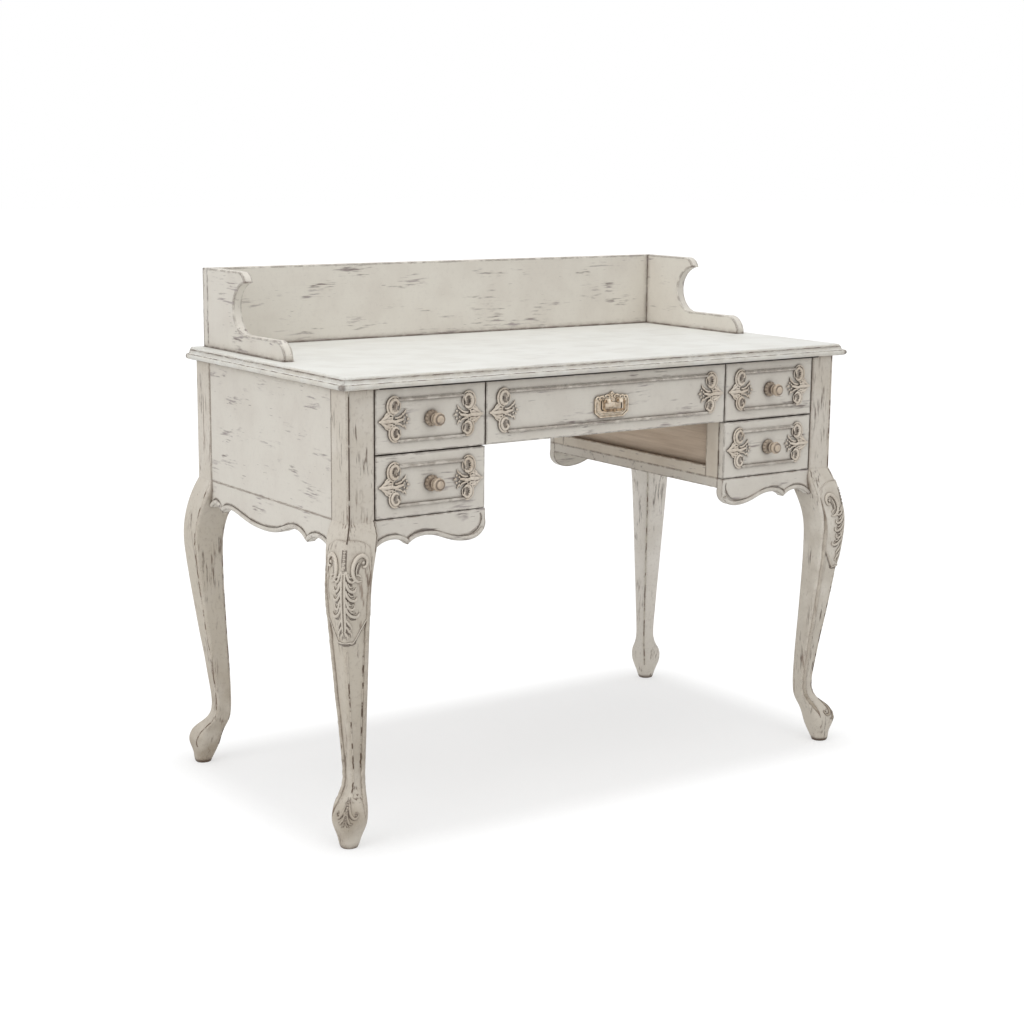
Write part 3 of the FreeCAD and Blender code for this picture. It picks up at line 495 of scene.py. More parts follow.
# Top paint: level faces painted lighter than upright ones, as painted light and shade
TOP_PAINT = PaintFinish(
    name="top_paint", body=tone(228, 228, 223), shade=tone(221, 220, 214), rim=tone(214, 209, 198),
    worn=tone(196, 193, 188), worn_deep=tone(176, 170, 164), stretch=0.03, wear_share=0.5, mottle_share=0.04,
    edge_share=0.75, edge=tone(86, 68, 56), corner_wear=True, glaze_and_shade_reach=0.007, glaze_and_shade_step=(0.92, 0.5),
    roughness=0.5)
INNER_PAINT = PaintFinish(
    name="inner_paint", body=tone(217, 209, 195), shade=tone(207, 197, 182), rim=tone(217, 209, 195),
    foot=tone(217, 209, 195))
GALLERY_PAINT = replace(
    PAINT, name="gallery_paint", edge=tone(88, 72, 62), edge_reach=0.0045, edge_step=(0.97, 0.75),
    edge_share=0.9)
# Drawer fronts: dark edges, partly rubbed wear and partly painted shade in the gaps between the drawers
DRAWER_GAP_SHADE_PAINT = replace(GALLERY_PAINT, name="drawer_gap_shade_paint", edge=tone(64, 50, 40), edge_reach=0.0035)
APRON_PAINT = PaintFinish(name="apron_paint", crease_share=0.5, glaze_and_shade_share=0.55)
LEG_PAINT = PaintFinish(
    name="leg_paint", body=tone(212, 205, 194), shade=tone(203, 195, 182), rim=tone(212, 205, 194),
    foot=tone(198, 189, 174), pad=tone(168, 156, 139), worn=tone(146, 130, 116), worn_deep=tone(84, 64, 51),
    streaks=replace(PAINT.streaks, scale=240.0), stretch=0.085,
    patches=replace(PAINT.patches, cut=(0.515, 0.61)), mottle_share=0.3, edge_reach=0.004, crease_share=0.4)
# Copy of the leg paint for the front right leg, lighter low down and a little darker above for how light
# falls: painted light and shade
LIT_LEG_PAINT = replace(
    LEG_PAINT, name="lit_leg_paint", body=tone(209, 203, 192), foot=tone(226, 220, 209),
    pad=tone(206, 198, 185), mottle_share=0.22)
# Copy for the rear right leg, which stands in the desk's shade, painted much lighter: painted bounce light
BOUNCE_LIT_LEG_PAINT = replace(
    LIT_LEG_PAINT, name="bounce_lit_leg_paint", body=tone(240, 235, 227), shade=tone(230, 224, 214),
    foot=tone(242, 237, 229), pad=tone(226, 219, 207))
# Carved paint: a painted highlight on the carvings' edges, and glaze darkened as painted shade in their
# hollows
CARVED_PAINT = PaintFinish(
    name="carved_paint", body=tone(222, 212, 198), shade=tone(202, 188, 170), rim=tone(222, 212, 198),
    foot=tone(212, 201, 186), edge=tone(228, 220, 208), worn=tone(142, 118, 94),
    mottle=replace(PAINT.mottle, scale=260.0), mottle_share=0.45, edge_reach=0.0012, edge_share=0.25,
    glaze=tone(84, 62, 44), glaze_and_shade_reach=0.007, glaze_and_shade_step=(0.78, 0.3), glaze_and_shade_share=0.9,
    crease=tone(62, 45, 31), crease_step=(0.6, 0.3), crease_share=0.95, wear_share=0.3, stretch=0.5)
# Knee paint keeps the carved paint's painted highlight on edges and painted shade in hollows
KNEE_PAINT = replace(
    CARVED_PAINT, name="knee_paint", body=tone(216, 209, 198), shade=tone(204, 195, 182),
    foot=tone(208, 200, 187), pad=tone(176, 164, 147), mottle_share=0.35)
# Knob paint: a painted highlight on the edges, and glaze darkened as painted shade in the grooves
KNOB_PAINT = PaintFinish(
    name="knob_paint", body=tone(204, 188, 168), shade=tone(170, 150, 128), rim=tone(204, 188, 168),
    edge=tone(218, 206, 190), edge_reach=0.0012, edge_share=0.4, glaze=tone(82, 60, 42), glaze_and_shade_reach=0.008,
    glaze_and_shade_step=(0.86, 0.3), glaze_and_shade_share=0.95, crease=tone(56, 38, 24), crease_step=(0.55, 0.25),
    crease_share=0.95, wear_share=0.5, stretch=0.5)
RAW_WOOD = RawWoodFinish()
# Kneehole panel: painted shade reaching further, darkest in its corners and along the rails around it
PANEL_WOOD = replace(
    RAW_WOOD, name="panel_wood", corner=tone(62, 42, 28), reach=0.055, corner_step=(0.86, 0.5))
BRASS = BrassFinish()
# Bail brass darkened as painted shade, for the shade on the bail's arms and bar
SHADE_DARKENED_BAIL_BRASS = BrassFinish(name="shade_darkened_brass", rubbed=tone(176, 150, 118), dull=tone(84, 63, 45))
PLATE_BRASS = BrassFinish(
    name="dull_brass", rubbed=tone(236, 222, 202), dull=tone(214, 194, 168), reach=0.003)
CORNER_GLAZE = SeamFinish("corner_glaze", dark=tone(74, 58, 46), breaks=(0.58, 0.7))
FAINT_GLAZE = SeamFinish("faint_glaze", dark=tone(158, 148, 138))
BROKEN_GLAZE = SeamFinish("broken_glaze", pale=tone(198, 189, 175), breaks=(0.42, 0.53))
STREAKED_GLAZE = SeamFinish(
    "streaked_glaze", dark=tone(104, 84, 68), pale=tone(206, 198, 185), breaks=(0.4, 0.56))
LIP_GLAZE = SeamFinish("lip_glaze", breaks=(0.4, 0.62))
# Painted shadow: a near-black line under the top's lip, for the shadow in the gap over the drawers
GAP_SHADOW = SeamFinish("painted_gap_shadow", dark=tone(30, 22, 17), breaks=(0.78, 0.9))


def pick(*objects: Piece) -> None:
    """Selects objects alone and makes the first the active one.

    Args:
        objects: what to select.
    """
    bpy.ops.object.select_all(action="DESELECT")
    for item in objects:
        item.select_set(True)
    bpy.context.view_layer.objects.active = objects[0]


def linked(name: str, data: bpy.types.ID) -> Piece:
    """Puts a new object in the scene.

    Args:
        name: its name.
        data: its mesh, curve, lamp or camera.

    Returns:
        The object.
    """
    item = bpy.data.objects.new(name, data)
    bpy.context.collection.objects.link(item)
    return item


def apply_modifier(item: Piece, kind: str, **settings: object) -> None:
    """Adds a modifier and applies it.

    Args:
        item: the object to change.
        kind: type of the modifier.
        settings: its properties.
    """
    pick(item)
    modifier = item.modifiers.new(kind.title(), kind)
    for name, value in settings.items():
        setattr(modifier, name, value)
    bpy.ops.object.modifier_apply(modifier=modifier.name)


def edited(item: Piece, *steps: Callable[[], object]) -> None:
    """Runs steps on a whole mesh in edit mode and turns its faces outward.

    Args:
        item: the mesh object.
        steps: calls to make, each with all of the mesh selected.
    """
    pick(item)
    bpy.ops.object.mode_set(mode="EDIT")
    for step in (*steps, partial(bpy.ops.mesh.normals_make_consistent, inside=False)):
        bpy.ops.mesh.select_all(action="SELECT")
        step()
    bpy.ops.object.mode_set(mode="OBJECT")


def moved_copy(item: Piece, name: str, matrix: Matrix) -> Piece:
    """Copy of a piece at another place, with its own mesh.

    Args:
        item: the piece.
        name: name of the copy.
        matrix: where its mesh goes.

    Returns:
        The copy.
    """
    mesh = item.data.copy()
    mesh.transform(matrix)
    if matrix.determinant() < 0:
        mesh.flip_normals()
    return linked(name, mesh)


def front_axes(x: float, y: float, z: float, inward: float = 1.0) -> Matrix:
    """Places a flat pattern, in millimetres, on a front face with its height towards the sitter."""
    return Matrix(((inward * MM, 0, 0, x), (0, 0, -MM, y), (0, MM, 0, z), (0, 0, 0, 1)))


def joined(items: Sequence[Piece], name: str) -> Piece:
    """Joins pieces into one object.

    Args:
        items: the pieces.
        name: name of the joined object.

    Returns:
        The joined object.
    """
    pick(*items)
    bpy.ops.object.join()
    items[0].name = items[0].data.name = name
    return items[0]


def discard(item: Piece) -> None:
    """Takes a pattern piece out of the scene."""
    bpy.data.objects.remove(item)


def settle(item: Piece, body: str, material: Material,
           stands_for: Sequence[str] = ()) -> None:
    """Gives a finished piece its material and the body that it moves with.

    Args:
        item: the piece.
        body: body that carries it.
        material: its finish.
        stands_for: solids that it takes the place of.
    """
    item.data.materials.clear()
    item.data.materials.append(material)
    item.data.shade_smooth()
    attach(item, body)
    if stands_for:
        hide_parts(*stands_for)
    LOG.info("%s: %d faces on %s", item.name, len(item.data.polygons), body)


def settle_pair(left: Piece, name: str, material: Material,
                right_material: Optional[Material] = None) -> None:
    """Settles a piece of the frame's left half and its mirror image on the right.

    Args:
        left: the left piece.
        name: name of the pair, without its side.
        material: its finish.
        right_material: finish of the right piece, if it differs.
    """
    left.name = left.data.name = f"{name}_left"
    right = moved_copy(left, f"{name}_right", MIRROR)
    settle(right, "desk_frame", right_material or material)
    settle(left, "desk_frame", material)


def flow(points: Sequence[Point], steps: int = 8) -> np.ndarray:
    """Smooth row of points through the given ones.

    Args:
        points: places with any number of values each.
        steps: new points per span.

    Returns:
        The denser row.
    """
    row = np.array(points, float)
    padded = np.vstack([2 * row[0] - row[1], row, 2 * row[-1] - row[-2]])
    t = np.linspace(0, 1, steps, endpoint=False)[:, None]
    spans = []
    for a, b, c, d in zip(padded, padded[1:], padded[2:], padded[3:]):
        spans.append(0.5 * (2 * b + (c - a) * t + (2 * a - 5 * b + 4 * c - d) * t ** 2
                            + (3 * b - a - 3 * c + d) * t ** 3))
    return np.vstack([*spans, row[-1:]])


def smoothed(values: np.ndarray, width: int) -> np.ndarray:
    """Running mean of a row, over an odd number of values."""
    return np.convolve(np.pad(values, width // 2, mode="edge"), np.ones(width) / width, mode="valid")


def thick(places: np.ndarray, radius: Union[float, np.ndarray]) -> np.ndarray:
    """Adds a radius to each point of a row."""
    return np.column_stack([places, np.broadcast_to(radius, len(places))])


def tubes(name: str, rows: Sequence[np.ndarray], turns: int = 4, least: float = 0.00005) -> Piece:
    """Round ridges along rows of points, as one mesh.

    Args:
        name: name of the object.
        rows: x, y, z and radius of each point.
        turns: smoothness of the ridges.
        least: smallest radius.

    Returns:
        The mesh object.
    """
    curve = bpy.data.curves.new(name, "CURVE")
    curve.dimensions = "3D"
    curve.bevel_depth = 1.0
    curve.bevel_resolution = turns
    curve.use_fill_caps = True
    for row in rows:
        spline = curve.splines.new("POLY")
        spline.points.add(len(row) - 1)
        for point, (x, y, z, radius) in zip(spline.points, row):
            point.co = (x, y, z, 1.0)
            point.radius = max(radius, least)
    pick(linked(name, curve))
    bpy.ops.object.convert(target="MESH")
    return bpy.context.view_layer.objects.active


def places_of(item: Piece) -> np.ndarray:
    """Points of a mesh.

    Args:
        item: the mesh object.

    Returns:
        A row of x, y and z for each.
    """
    flat = np.zeros(3 * len(item.data.vertices))
    item.data.vertices.foreach_get("co", flat)
    return flat.reshape(-1, 3)


def mark_glaze_and_shade(item: Piece, hollow: np.ndarray) -> None:
    """Stores on each point of a mesh how much glaze and painted shade it takes, 0 to 1."""
    item.data.attributes.new(HOLLOW, "FLOAT", "POINT").data.foreach_set("value", hollow)


def ray_tree(node: str, flip: Matrix = Matrix.Identity(4)) -> BVHTree:
    """Search tree of a solid's faces, for rays.

    Args:
        node: the solid.
        flip: where its points are taken to first.

    Returns:
        The tree.
    """
    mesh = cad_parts[node].data
    return BVHTree.FromPolygons([flip @ v.co for v in mesh.vertices], [p.vertices for p in mesh.polygons])


@dataclass
class Relief:
    """Carved relief on a flat ground: u across, v up and w off the ground, in millimetres."""

    PEARL_LIFTS: ClassVar[np.ndarray] = np.linspace(-0.999, 0.999, 11)
    SOFTENING: ClassVar[dict[str, float]] = {"factor": 0.5, "iterations": 3}

    name: str
    rows: list[np.ndarray] = field(default_factory=list)
    passes: int = 14
    crease_depth: float = 0.35
    shallow: float = 0.8

    def ridge(self, *points: Point, side: int = 1) -> None:
        """Adds a smooth ridge through points of u, v, w and radius, on one side of the middle."""
        self.rows.append(flow([(side * u, v, w, radius) for u, v, w, radius in points]))

    def pearl(self, u: float, v: float, radius: float, height: float = 0.0) -> None:
        """Adds a round bead with its centre at a height off the ground."""
        self.rows.append(np.array([(u, v, height + lift * radius, radius * math.sqrt(1 - lift * lift))
                                   for lift in self.PEARL_LIFTS]))

    def carve(self, grain: float, flatten: float, sunk: float) -> Piece:
        """Melts the ridges into one carved skin, cut flat behind and marked where glaze and painted shade go.

        Args:
            grain: size of the finest detail, in millimetres.
            flatten: factor on the height.
            sunk: depth of the flat back behind the ground, in millimetres.

        Returns:
            The carved mesh, in millimetres.
        """
        item = tubes(self.name, self.rows)
        item.data.transform(Matrix.Scale(flatten, 4, (0, 0, 1)))
        apply_modifier(item, "REMESH", mode="VOXEL", voxel_size=grain)
        apply_modifier(item, "SMOOTH", **self.SOFTENING)
        edited(item, partial(bpy.ops.mesh.bisect, plane_co=(0, 0, -sunk), plane_no=(0, 0, 1),
                             clear_inner=True, use_fill=True))
        self.mark_hollows(item)
        return item

    def mark_hollows(self, item: Piece) -> None:
        """Stores how far each point lies below its surroundings or how near it lies to the ground, for the
        glaze and painted shade.

        Args:
            item: the carved mesh, with its height along z.
        """
        mesh = item.data
        count = len(mesh.vertices)
        height = places_of(item)[:, 2]
        ends = np.zeros(2 * len(mesh.edges), int)
        mesh.edges.foreach_get("vertices", ends)
        first, second = ends.reshape(-1, 2).T
        links = np.bincount(ends, minlength=count)
        around = height.copy()
        for _ in range(self.passes):
            total = np.bincount(first, around[second], count) + np.bincount(second, around[first], count)
            around = total / links
        hollow = np.maximum((around - height) / self.crease_depth, 1 - height / self.shallow)
        mark_glaze_and_shade(item, np.clip(hollow, 0, 1))


@dataclass
class DrawerScrolls:
    """Carved pair of scrolls with a leaf at each end of a drawer front; u runs inward from the end.

    The tables of a scroll hold angle, inset from its rim and radius.
    """

    BAND: ClassVar[Row] = (
        (322, 3.4, 0.9), (296, 3.0, 2.1), (264, 2.9, 2.7), (226, 2.8, 3.0), (190, 2.8, 3.1), (150, 2.8, 3.0),
        (112, 2.8, 2.8), (80, 2.8, 2.6), (52, 3.4, 2.3), (26, 4.8, 1.9), (4, 6.2, 1.2))
    CLOSING: ClassVar[Row] = ((44, 0.6, 0.8), (18, 0.8, 1.2), (-12, 1.0, 1.2), (-38, 1.2, 0.8))
    CRESCENT: ClassVar[Row] = (
        (268, -1.2, 0.8), (250, -2.2, 1.4), (222, -2.8, 1.8), (196, -3.0, 2.0), (168, -3.0, 2.0),
        (140, -2.9, 1.9), (112, -2.7, 1.8), (88, -2.4, 1.6), (66, -1.8, 1.2), (46, -1.0, 0.7))
    TURNS: ClassVar[tuple[tuple[Row, float], ...]] = ((BAND, 1.2), (CLOSING, 0.4), (CRESCENT, 0.5))
    TICKS: ClassVar[tuple[float, ...]] = (136, 166, 196, 226)
    TICK: ClassVar[Row] = ((0, 5.4, 0.9, 1.0), (8, 7.0, 0.6, 0.9), (16, 8.2, 0.2, 0.5))
    CORE: ClassVar[Row] = ((0.5, 0.62), (3.6, 0.5))
    CORE_BEADS: ClassVar[Row] = ((3.4, -4.6, 1.1), (4.0, -0.8, 1.2), (3.2, 2.8, 1.0))
    LEAVES: ClassVar[Rows] = (
        ((33, 5.4, 0.3, 1.6), (25, 5.6, 0.7, 2.1), (18, 3.4, 0.5, 1.8), (12, 1, 0.2, 1)),
        ((36, 4.6, 0.3, 1.3), (43, 5.2, 0.6, 1.8), (49, 7.6, 0.4, 1.5), (53, 12, 0, 0.6)),
        ((25, 15, 0.1, 0.8), (20.5, 12.2, 0.4, 1.6), (16.5, 9.2, 0.1, 0.9)))
    STEMS: ClassVar[Rows] = (
        ((32, 0.8, 0.6, 3.4), (24, 0.2, 0.9, 3.8), (16, 0, 0.9, 3.4), (10, 0, 0.7, 2.7), (5.5, 0, 0.2, 1.4)),
        ((29, 0.6, 1.0, 2.8), (37, -1.2, 1.3, 2.8), (45, 0.4, 1.2, 2.5), (53, 2, 0.9, 1.9)),
        ((60, 1.5, 0.3, 1.5), (64, 1, 0.2, 1.1), (67, 0.5, 0.0, 0.5)),
        ((53, 10, 0.3, 1.1), (57, 15.5, 0.3, 1.3), (58, 19, 0.0, 0.5)),
        ((53, -7, 0.3, 1.1), (57, -12.5, 0.3, 1.3), (58, -16, 0.0, 0.5)))
    BERRIES: ClassVar[Row] = (
        (55.5, 13, 1.9), (59, 8, 2.1), (61.5, 2, 2.4), (59.5, -4.5, 2.1), (55.5, -9.5, 1.9), (54, 5, 1.9),
        (54, -2.5, 1.9), (52, 10.5, 1.9), (52, -10.5, 1.7))

    upper: Point = (36.5, 24.0)
    upper_halves: Point = (11.6, 13.8)
    lower: Point = (38.0, -20.8)
    lower_halves: Point = (10.2, 12.2)
    drawn_half: float = 12.4
    roots: Point = (26, 28)
    core_sunk: float = -7.7
    core_radius: float = 8.0
    core_bead_lift: float = 0.4
    berry_lift: float = 0.1
    relief: float = 0.85
    detail: float = 0.6
    sunk: float = 0.4

    def volute(self, r: Relief, place: Point, halves: Point, way: float) -> None:
        """Carves one oval scroll that winds in to its eye.

        Args:
            r: relief to carve in.
            place: middle of the oval.
            halves: its half width and half height.
            way: 1 to wind up from the stem, -1 to wind down.
        """
        fat = halves[0] / self.drawn_half

        def at(angle: float, inset: float) -> Point:
            """Point of the oval at an angle in degrees, moved in from its rim."""
            turn = math.radians(angle)
            return (place[0] + (halves[0] - inset * fat) * math.cos(turn),
                    place[1] + way * (halves[1] - inset * fat) * math.sin(turn))

        for turns, lift in self.TURNS:
            r.ridge(*((*at(angle, inset), lift, radius * fat) for angle, inset, radius in turns))
        for start in self.TICKS:
            r.ridge(*((*at(start + angle, inset), lift, radius * fat)
                      for angle, inset, lift, radius in self.TICK))
        # Sunk rows in the eye: a low ground that the paint darkens as glaze and painted shade
        for across, share in self.CORE:
            r.ridge(*((place[0] + across * fat, place[1] + rise * share * halves[1], self.core_sunk,
                       self.core_radius) for rise in (-1, 0, 1)))
        for across, rise, radius in self.CORE_BEADS:
            r.pearl(place[0] + across * fat, place[1] + way * rise * fat, radius * fat, self.core_bead_lift)

    def pattern(self) -> Piece:
        """Carves one end's scrolls on a flat ground.

        Returns:
            The pattern, in millimetres.
        """
        r = Relief("scroll_pattern")
        self.volute(r, self.upper, self.upper_halves, 1.0)
        self.volute(r, self.lower, self.lower_halves, -1.0)
        for way, root in zip((1, -1), self.roots):
            branch = ((root, 11, 0.4, 2.2), (19.5, 7.2, 0.7, 2.9), (14, 4, 0.4, 2.2), (10, 2, 0.1, 1))
            for leaf in (branch, *self.LEAVES):
                r.ridge(*((u, way * v, w, radius) for u, v, w, radius in leaf))
        for stem in self.STEMS:
            r.ridge(*stem)
        for u, v, radius in self.BERRIES:
            r.pearl(u, v, radius, self.berry_lift)
        return r.carve(self.detail, self.relief, self.sunk)

    def build(self, material: Material) -> None:
        """Puts a carved pair on every drawer.

        Args:
            material: carved paint.
        """
        pattern = self.pattern()
        for name in DRAWERS:
            low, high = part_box(f"{name}_front")
            middle = (low.z + high.z) / 2
            pair = [moved_copy(pattern, f"{name}_scrolls", front_axes(end, low.y, middle, inward))
                    for end, inward in ((low.x, 1.0), (high.x, -1.0))]
            settle(joined(pair, f"{name}_scrolls"), f"{name}_drawer", material,
                   [f"{name}_carvings"])
        discard(pattern)


@dataclass
class TurnedKnobs:
    """Turned wooden knobs with a fluted foot and a petalled head, in millimetres.

    The profile holds radius and height; a groove its height, width and share of glaze and painted shade;
    petals and flutes the height of their middle and their width.
    """

    profile: Row = (
        (13.6, 0.0), (14.0, 0.9), (13.8, 2.6), (12.6, 4.0), (10.8, 4.9), (8.4, 5.8), (6.5, 6.9), (5.9, 8.4),
        (6.2, 9.9), (7.8, 11.0), (9.2, 12.0), (9.8, 13.3), (9.5, 14.6), (8.4, 15.5), (7.7, 16.4), (8.0, 17.3),
        (9.8, 18.4), (11.1, 20.1), (11.5, 22.2), (11.1, 24.2), (10.0, 25.8), (8.9, 26.5), (7.9, 26.4),
        (7.1, 26.7), (6.6, 27.6), (5.4, 28.9), (3.4, 29.7), (1.8, 29.95), (0.0, 30.0))
    profile_steps: int = 4
    turns: int = 72
    weld: float = 0.01
    petals: int = 9
    petal_depth: float = 0.07
    petal_band: Span = (22.5, 4.0)
    flutes: int = 12
    flute_depth: float = 0.07
    flute_band: Span = (3.0, 2.6)
    flute_top: float = 4.6
    grooves: Row = (
        (2.4, 0.6, 0.7), (7.6, 2.6, 1.0), (12.6, 0.7, 0.6), (16.5, 1.3, 0.95), (21.6, 0.6, 0.5),
        (26.7, 0.8, 0.7))
    foot_glaze_and_shade: float = 0.35
    valley_glaze_and_shade: float = 0.45

    def close_foot(self) -> None:
        """Fills the open ring at the foot of the knob that is being edited."""
        bpy.ops.mesh.select_all(action="DESELECT")
        bpy.ops.mesh.select_non_manifold()
        bpy.ops.mesh.edge_face_add()

    def pattern(self) -> Piece:
        """Turns one knob about the z axis, its foot at the origin.

        Returns:
            The knob, in millimetres.
        """
        mesh = bpy.data.meshes.new("knob_pattern")
        rows = flow([(radius, 0, out) for radius, out in self.profile], self.profile_steps)
        rows[:, 0] = np.maximum(rows[:, 0], 0.0)
        mesh.from_pydata([tuple(row) for row in rows], [(i, i + 1) for i in range(len(rows) - 1)], [])
        item = linked("knob_pattern", mesh)
        spin = partial(bpy.ops.mesh.spin, steps=self.turns, angle=math.tau, center=(0, 0, 0), axis=(0, 0, 1))
        weld = partial(bpy.ops.mesh.remove_doubles, threshold=self.weld)
        edited(item, spin, weld, self.close_foot)
        x, y, z = places_of(item).T
        angle = np.arctan2(y, x)
        head, foot = (np.exp(-((z - middle) / width) ** 2)
                      for middle, width in (self.petal_band, self.flute_band))
        valley = 1 - np.abs(np.cos(self.petals * angle / 2))
        flute = (1 - np.cos(self.flutes * angle)) / 2
        factor = 1 - self.petal_depth * head * valley - self.flute_depth * foot * flute
        item.data.vertices.foreach_set("co", np.column_stack([x * factor, y * factor, z]).ravel())
        mark_glaze_and_shade(item, self.glaze(item))
        return item

    def glaze(self, item: Piece) -> np.ndarray:
        """Share of glaze and painted shade in the turned grooves, between the flutes and over the foot.

        Args:
            item: the knob.

        Returns:
            A share for each point.
        """
        x, y, z = places_of(item).T
        rings = [share * np.exp(-((z - middle) / width) ** 2) for middle, width, share in self.grooves]
        valleys = np.clip(-np.cos(self.flutes * np.arctan2(y, x)), 0, 1)
        foot = (self.foot_glaze_and_shade + self.valley_glaze_and_shade * valleys) * (z < self.flute_top)
        return np.max([*rings, foot], axis=0)

    def build(self, material: Material) -> None:
        """Puts a knob on each side drawer.

        Args:
            material: knob paint.
        """
        pattern = self.pattern()
        for name in SIDE_DRAWERS:
            low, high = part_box(f"{name}_front")
            axes = front_axes((low.x + high.x) / 2, low.y, (low.z + high.z) / 2)
            settle(moved_copy(pattern, f"{name}_turned_knob", axes), f"{name}_drawer", material,
                   [f"{name}_knob"])
        discard(pattern)


@dataclass
class CentrePull:
    """Cast pull of the centre drawer: scrolled plate, studs and a bail, in millimetres.

    Points hold u across and v up from the plate's foot, then height of the centre and radius. The shadow is a
    low ground behind the bail that the brass paints dark as the bail's painted shadow, and the pits are such
    grounds in the crest, painted dark as the shade in its openings.
    """

    INNER: ClassVar[Row] = (
        (0, 6.2), (14, 6.2), (22.5, 6.2), (24.6, 6.8), (31.2, 12.0), (31.8, 13.6), (31.8, 20), (31.8, 27))
    CREST: ClassVar[Rows] = (
        ((36.3, 31, 0.3, 1.2), (33.8, 36, 0.5, 1.5), (29.5, 37, 0.5, 1.5), (27.4, 34.2, 0.4, 1.3),
         (30, 32.2, 0.3, 1.0)),
        ((27.5, 37.2, 0.3, 1.1), (22.5, 38.2, 0.5, 1.5), (18.2, 36.4, 0.5, 1.5), (18, 33, 0.4, 1.3),
         (21, 31.8, 0.3, 1.0)),
        ((16.5, 37.8, 0.3, 1.1), (11.5, 40, 0.5, 1.5), (6.8, 39.2, 0.5, 1.5), (5.4, 36, 0.4, 1.3),
         (8.2, 34.4, 0.3, 1.0)))
    PEAK: ClassVar[Row] = ((-3.2, 42, 0.3, 1.0), (0, 44, 0.5, 1.7), (3.2, 42, 0.3, 1.0))
    FIELD_LINES: ClassVar[tuple[float, ...]] = (18.5, 20.0, 21.5, 23.0, 24.5, 26.0)
    FIELD_RUN: ClassVar[tuple[float, ...]] = (0, 8, 15.5)
    PITS: ClassVar[Row] = (
        (22.6, 34.8), (10.0, 37.0), (31.0, 34.6), (15.6, 34.0), (27.6, 30.4), (3.4, 38.6))
    PEARLS: ClassVar[Row] = ((0, 44.8, 1.6, 0.4), (0, 34.5, 2.2, 0.3))
    GRIP: ClassVar[Row] = (
        (-1.0, 2.0), (-0.92, 2.9), (-0.84, 2.2), (-0.4, 2.6), (-0.1, 3.0), (-0.06, 3.5), (0.0, 3.7),
        (0.06, 3.5), (0.1, 3.0), (0.4, 2.6), (0.84, 2.2), (0.92, 2.9), (1.0, 2.0))

    half: float = 37.5
    rim_inset: float = 1.3
    rim_size: Point = (0.6, 1.2)
    inner_size: Point = (0.3, 0.9)
    field_size: Point = (-0.3, 1.7)
    shadow_size: Point = (-29.66, 30.0)
    stud_size: Point = (6.4, -5.2)
    pit_size: Point = (4.0, -3.66)
    post: float = 13.5
    pivot: float = 30.4
    arm: float = 22.5
    bar: float = 13.4
    bail_radius: float = 2.0
    grip_share: float = 0.7
    shallow: float = 1.2
    detail: float = 0.3
    sunk: float = 0.3

    def ornament(self) -> Piece:
        """Models the rim, crest scrolls and beads of the plate on a flat ground.

        Returns:
            The ornament, in millimetres.
        """
        r = Relief("pull_ornament", shallow=self.shallow)
        inset, end = self.rim_inset, self.half - self.rim_inset
        rim = ((0, inset), (14, inset), (23.5, inset), (25.8, 1.8), (35.6, 9.0), (end, 10.6), (end, 20),
               (end, 31.5))
        shadow = ((0, self.bar), (12, self.bar), (20, self.bar), (self.arm, self.bar + 3), (self.arm, 22),
                  (self.arm, self.pivot))
        lines = [tuple((u, v) for u in self.FIELD_RUN) for v in self.FIELD_LINES]
        flat_rows = [(rim, self.rim_size), (self.INNER, self.inner_size), (shadow, self.shadow_size),
                     *((line, self.field_size) for line in lines)]
        for side in HALVES:
            for row, size in flat_rows:
                r.ridge(*((u, v, *size) for u, v in row), side=side)
            for row in self.CREST:
                r.ridge(*row, side=side)
            r.pearl(side * self.post, self.pivot, *self.stud_size)
            for u, v in self.PITS:
                r.pearl(side * u, v, *self.pit_size)
        r.ridge(*self.PEAK)
        for pearl in self.PEARLS:
            r.pearl(*pearl)
        return r.carve(self.detail, 1.0, self.sunk)

    def build(self, material: Material, dark: Material) -> None:
        """Puts the cast work on the centre drawer's plate and swells the bail's bar.

        Args:
            material: aged brass.
            dark: brass of the bail, darkened as painted shade.
        """
        low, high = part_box("centre_pull_plate")
        axes = front_axes((low.x + high.x) / 2, low.y, low.z)
        pattern = self.ornament()
        settle(moved_copy(pattern, "pull_plate_cast", axes), "centre_drawer", material)
        discard(pattern)
        low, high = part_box("centre_pull_bail")
        y, z, reach = (low.y + high.y) / 2, low.z + self.bail_radius * MM, self.grip_share * high.x
        row = flow([(share * reach, y, z, radius * MM) for share, radius in self.GRIP])
        settle(tubes("pull_grip", [row]), "centre_bail", dark)


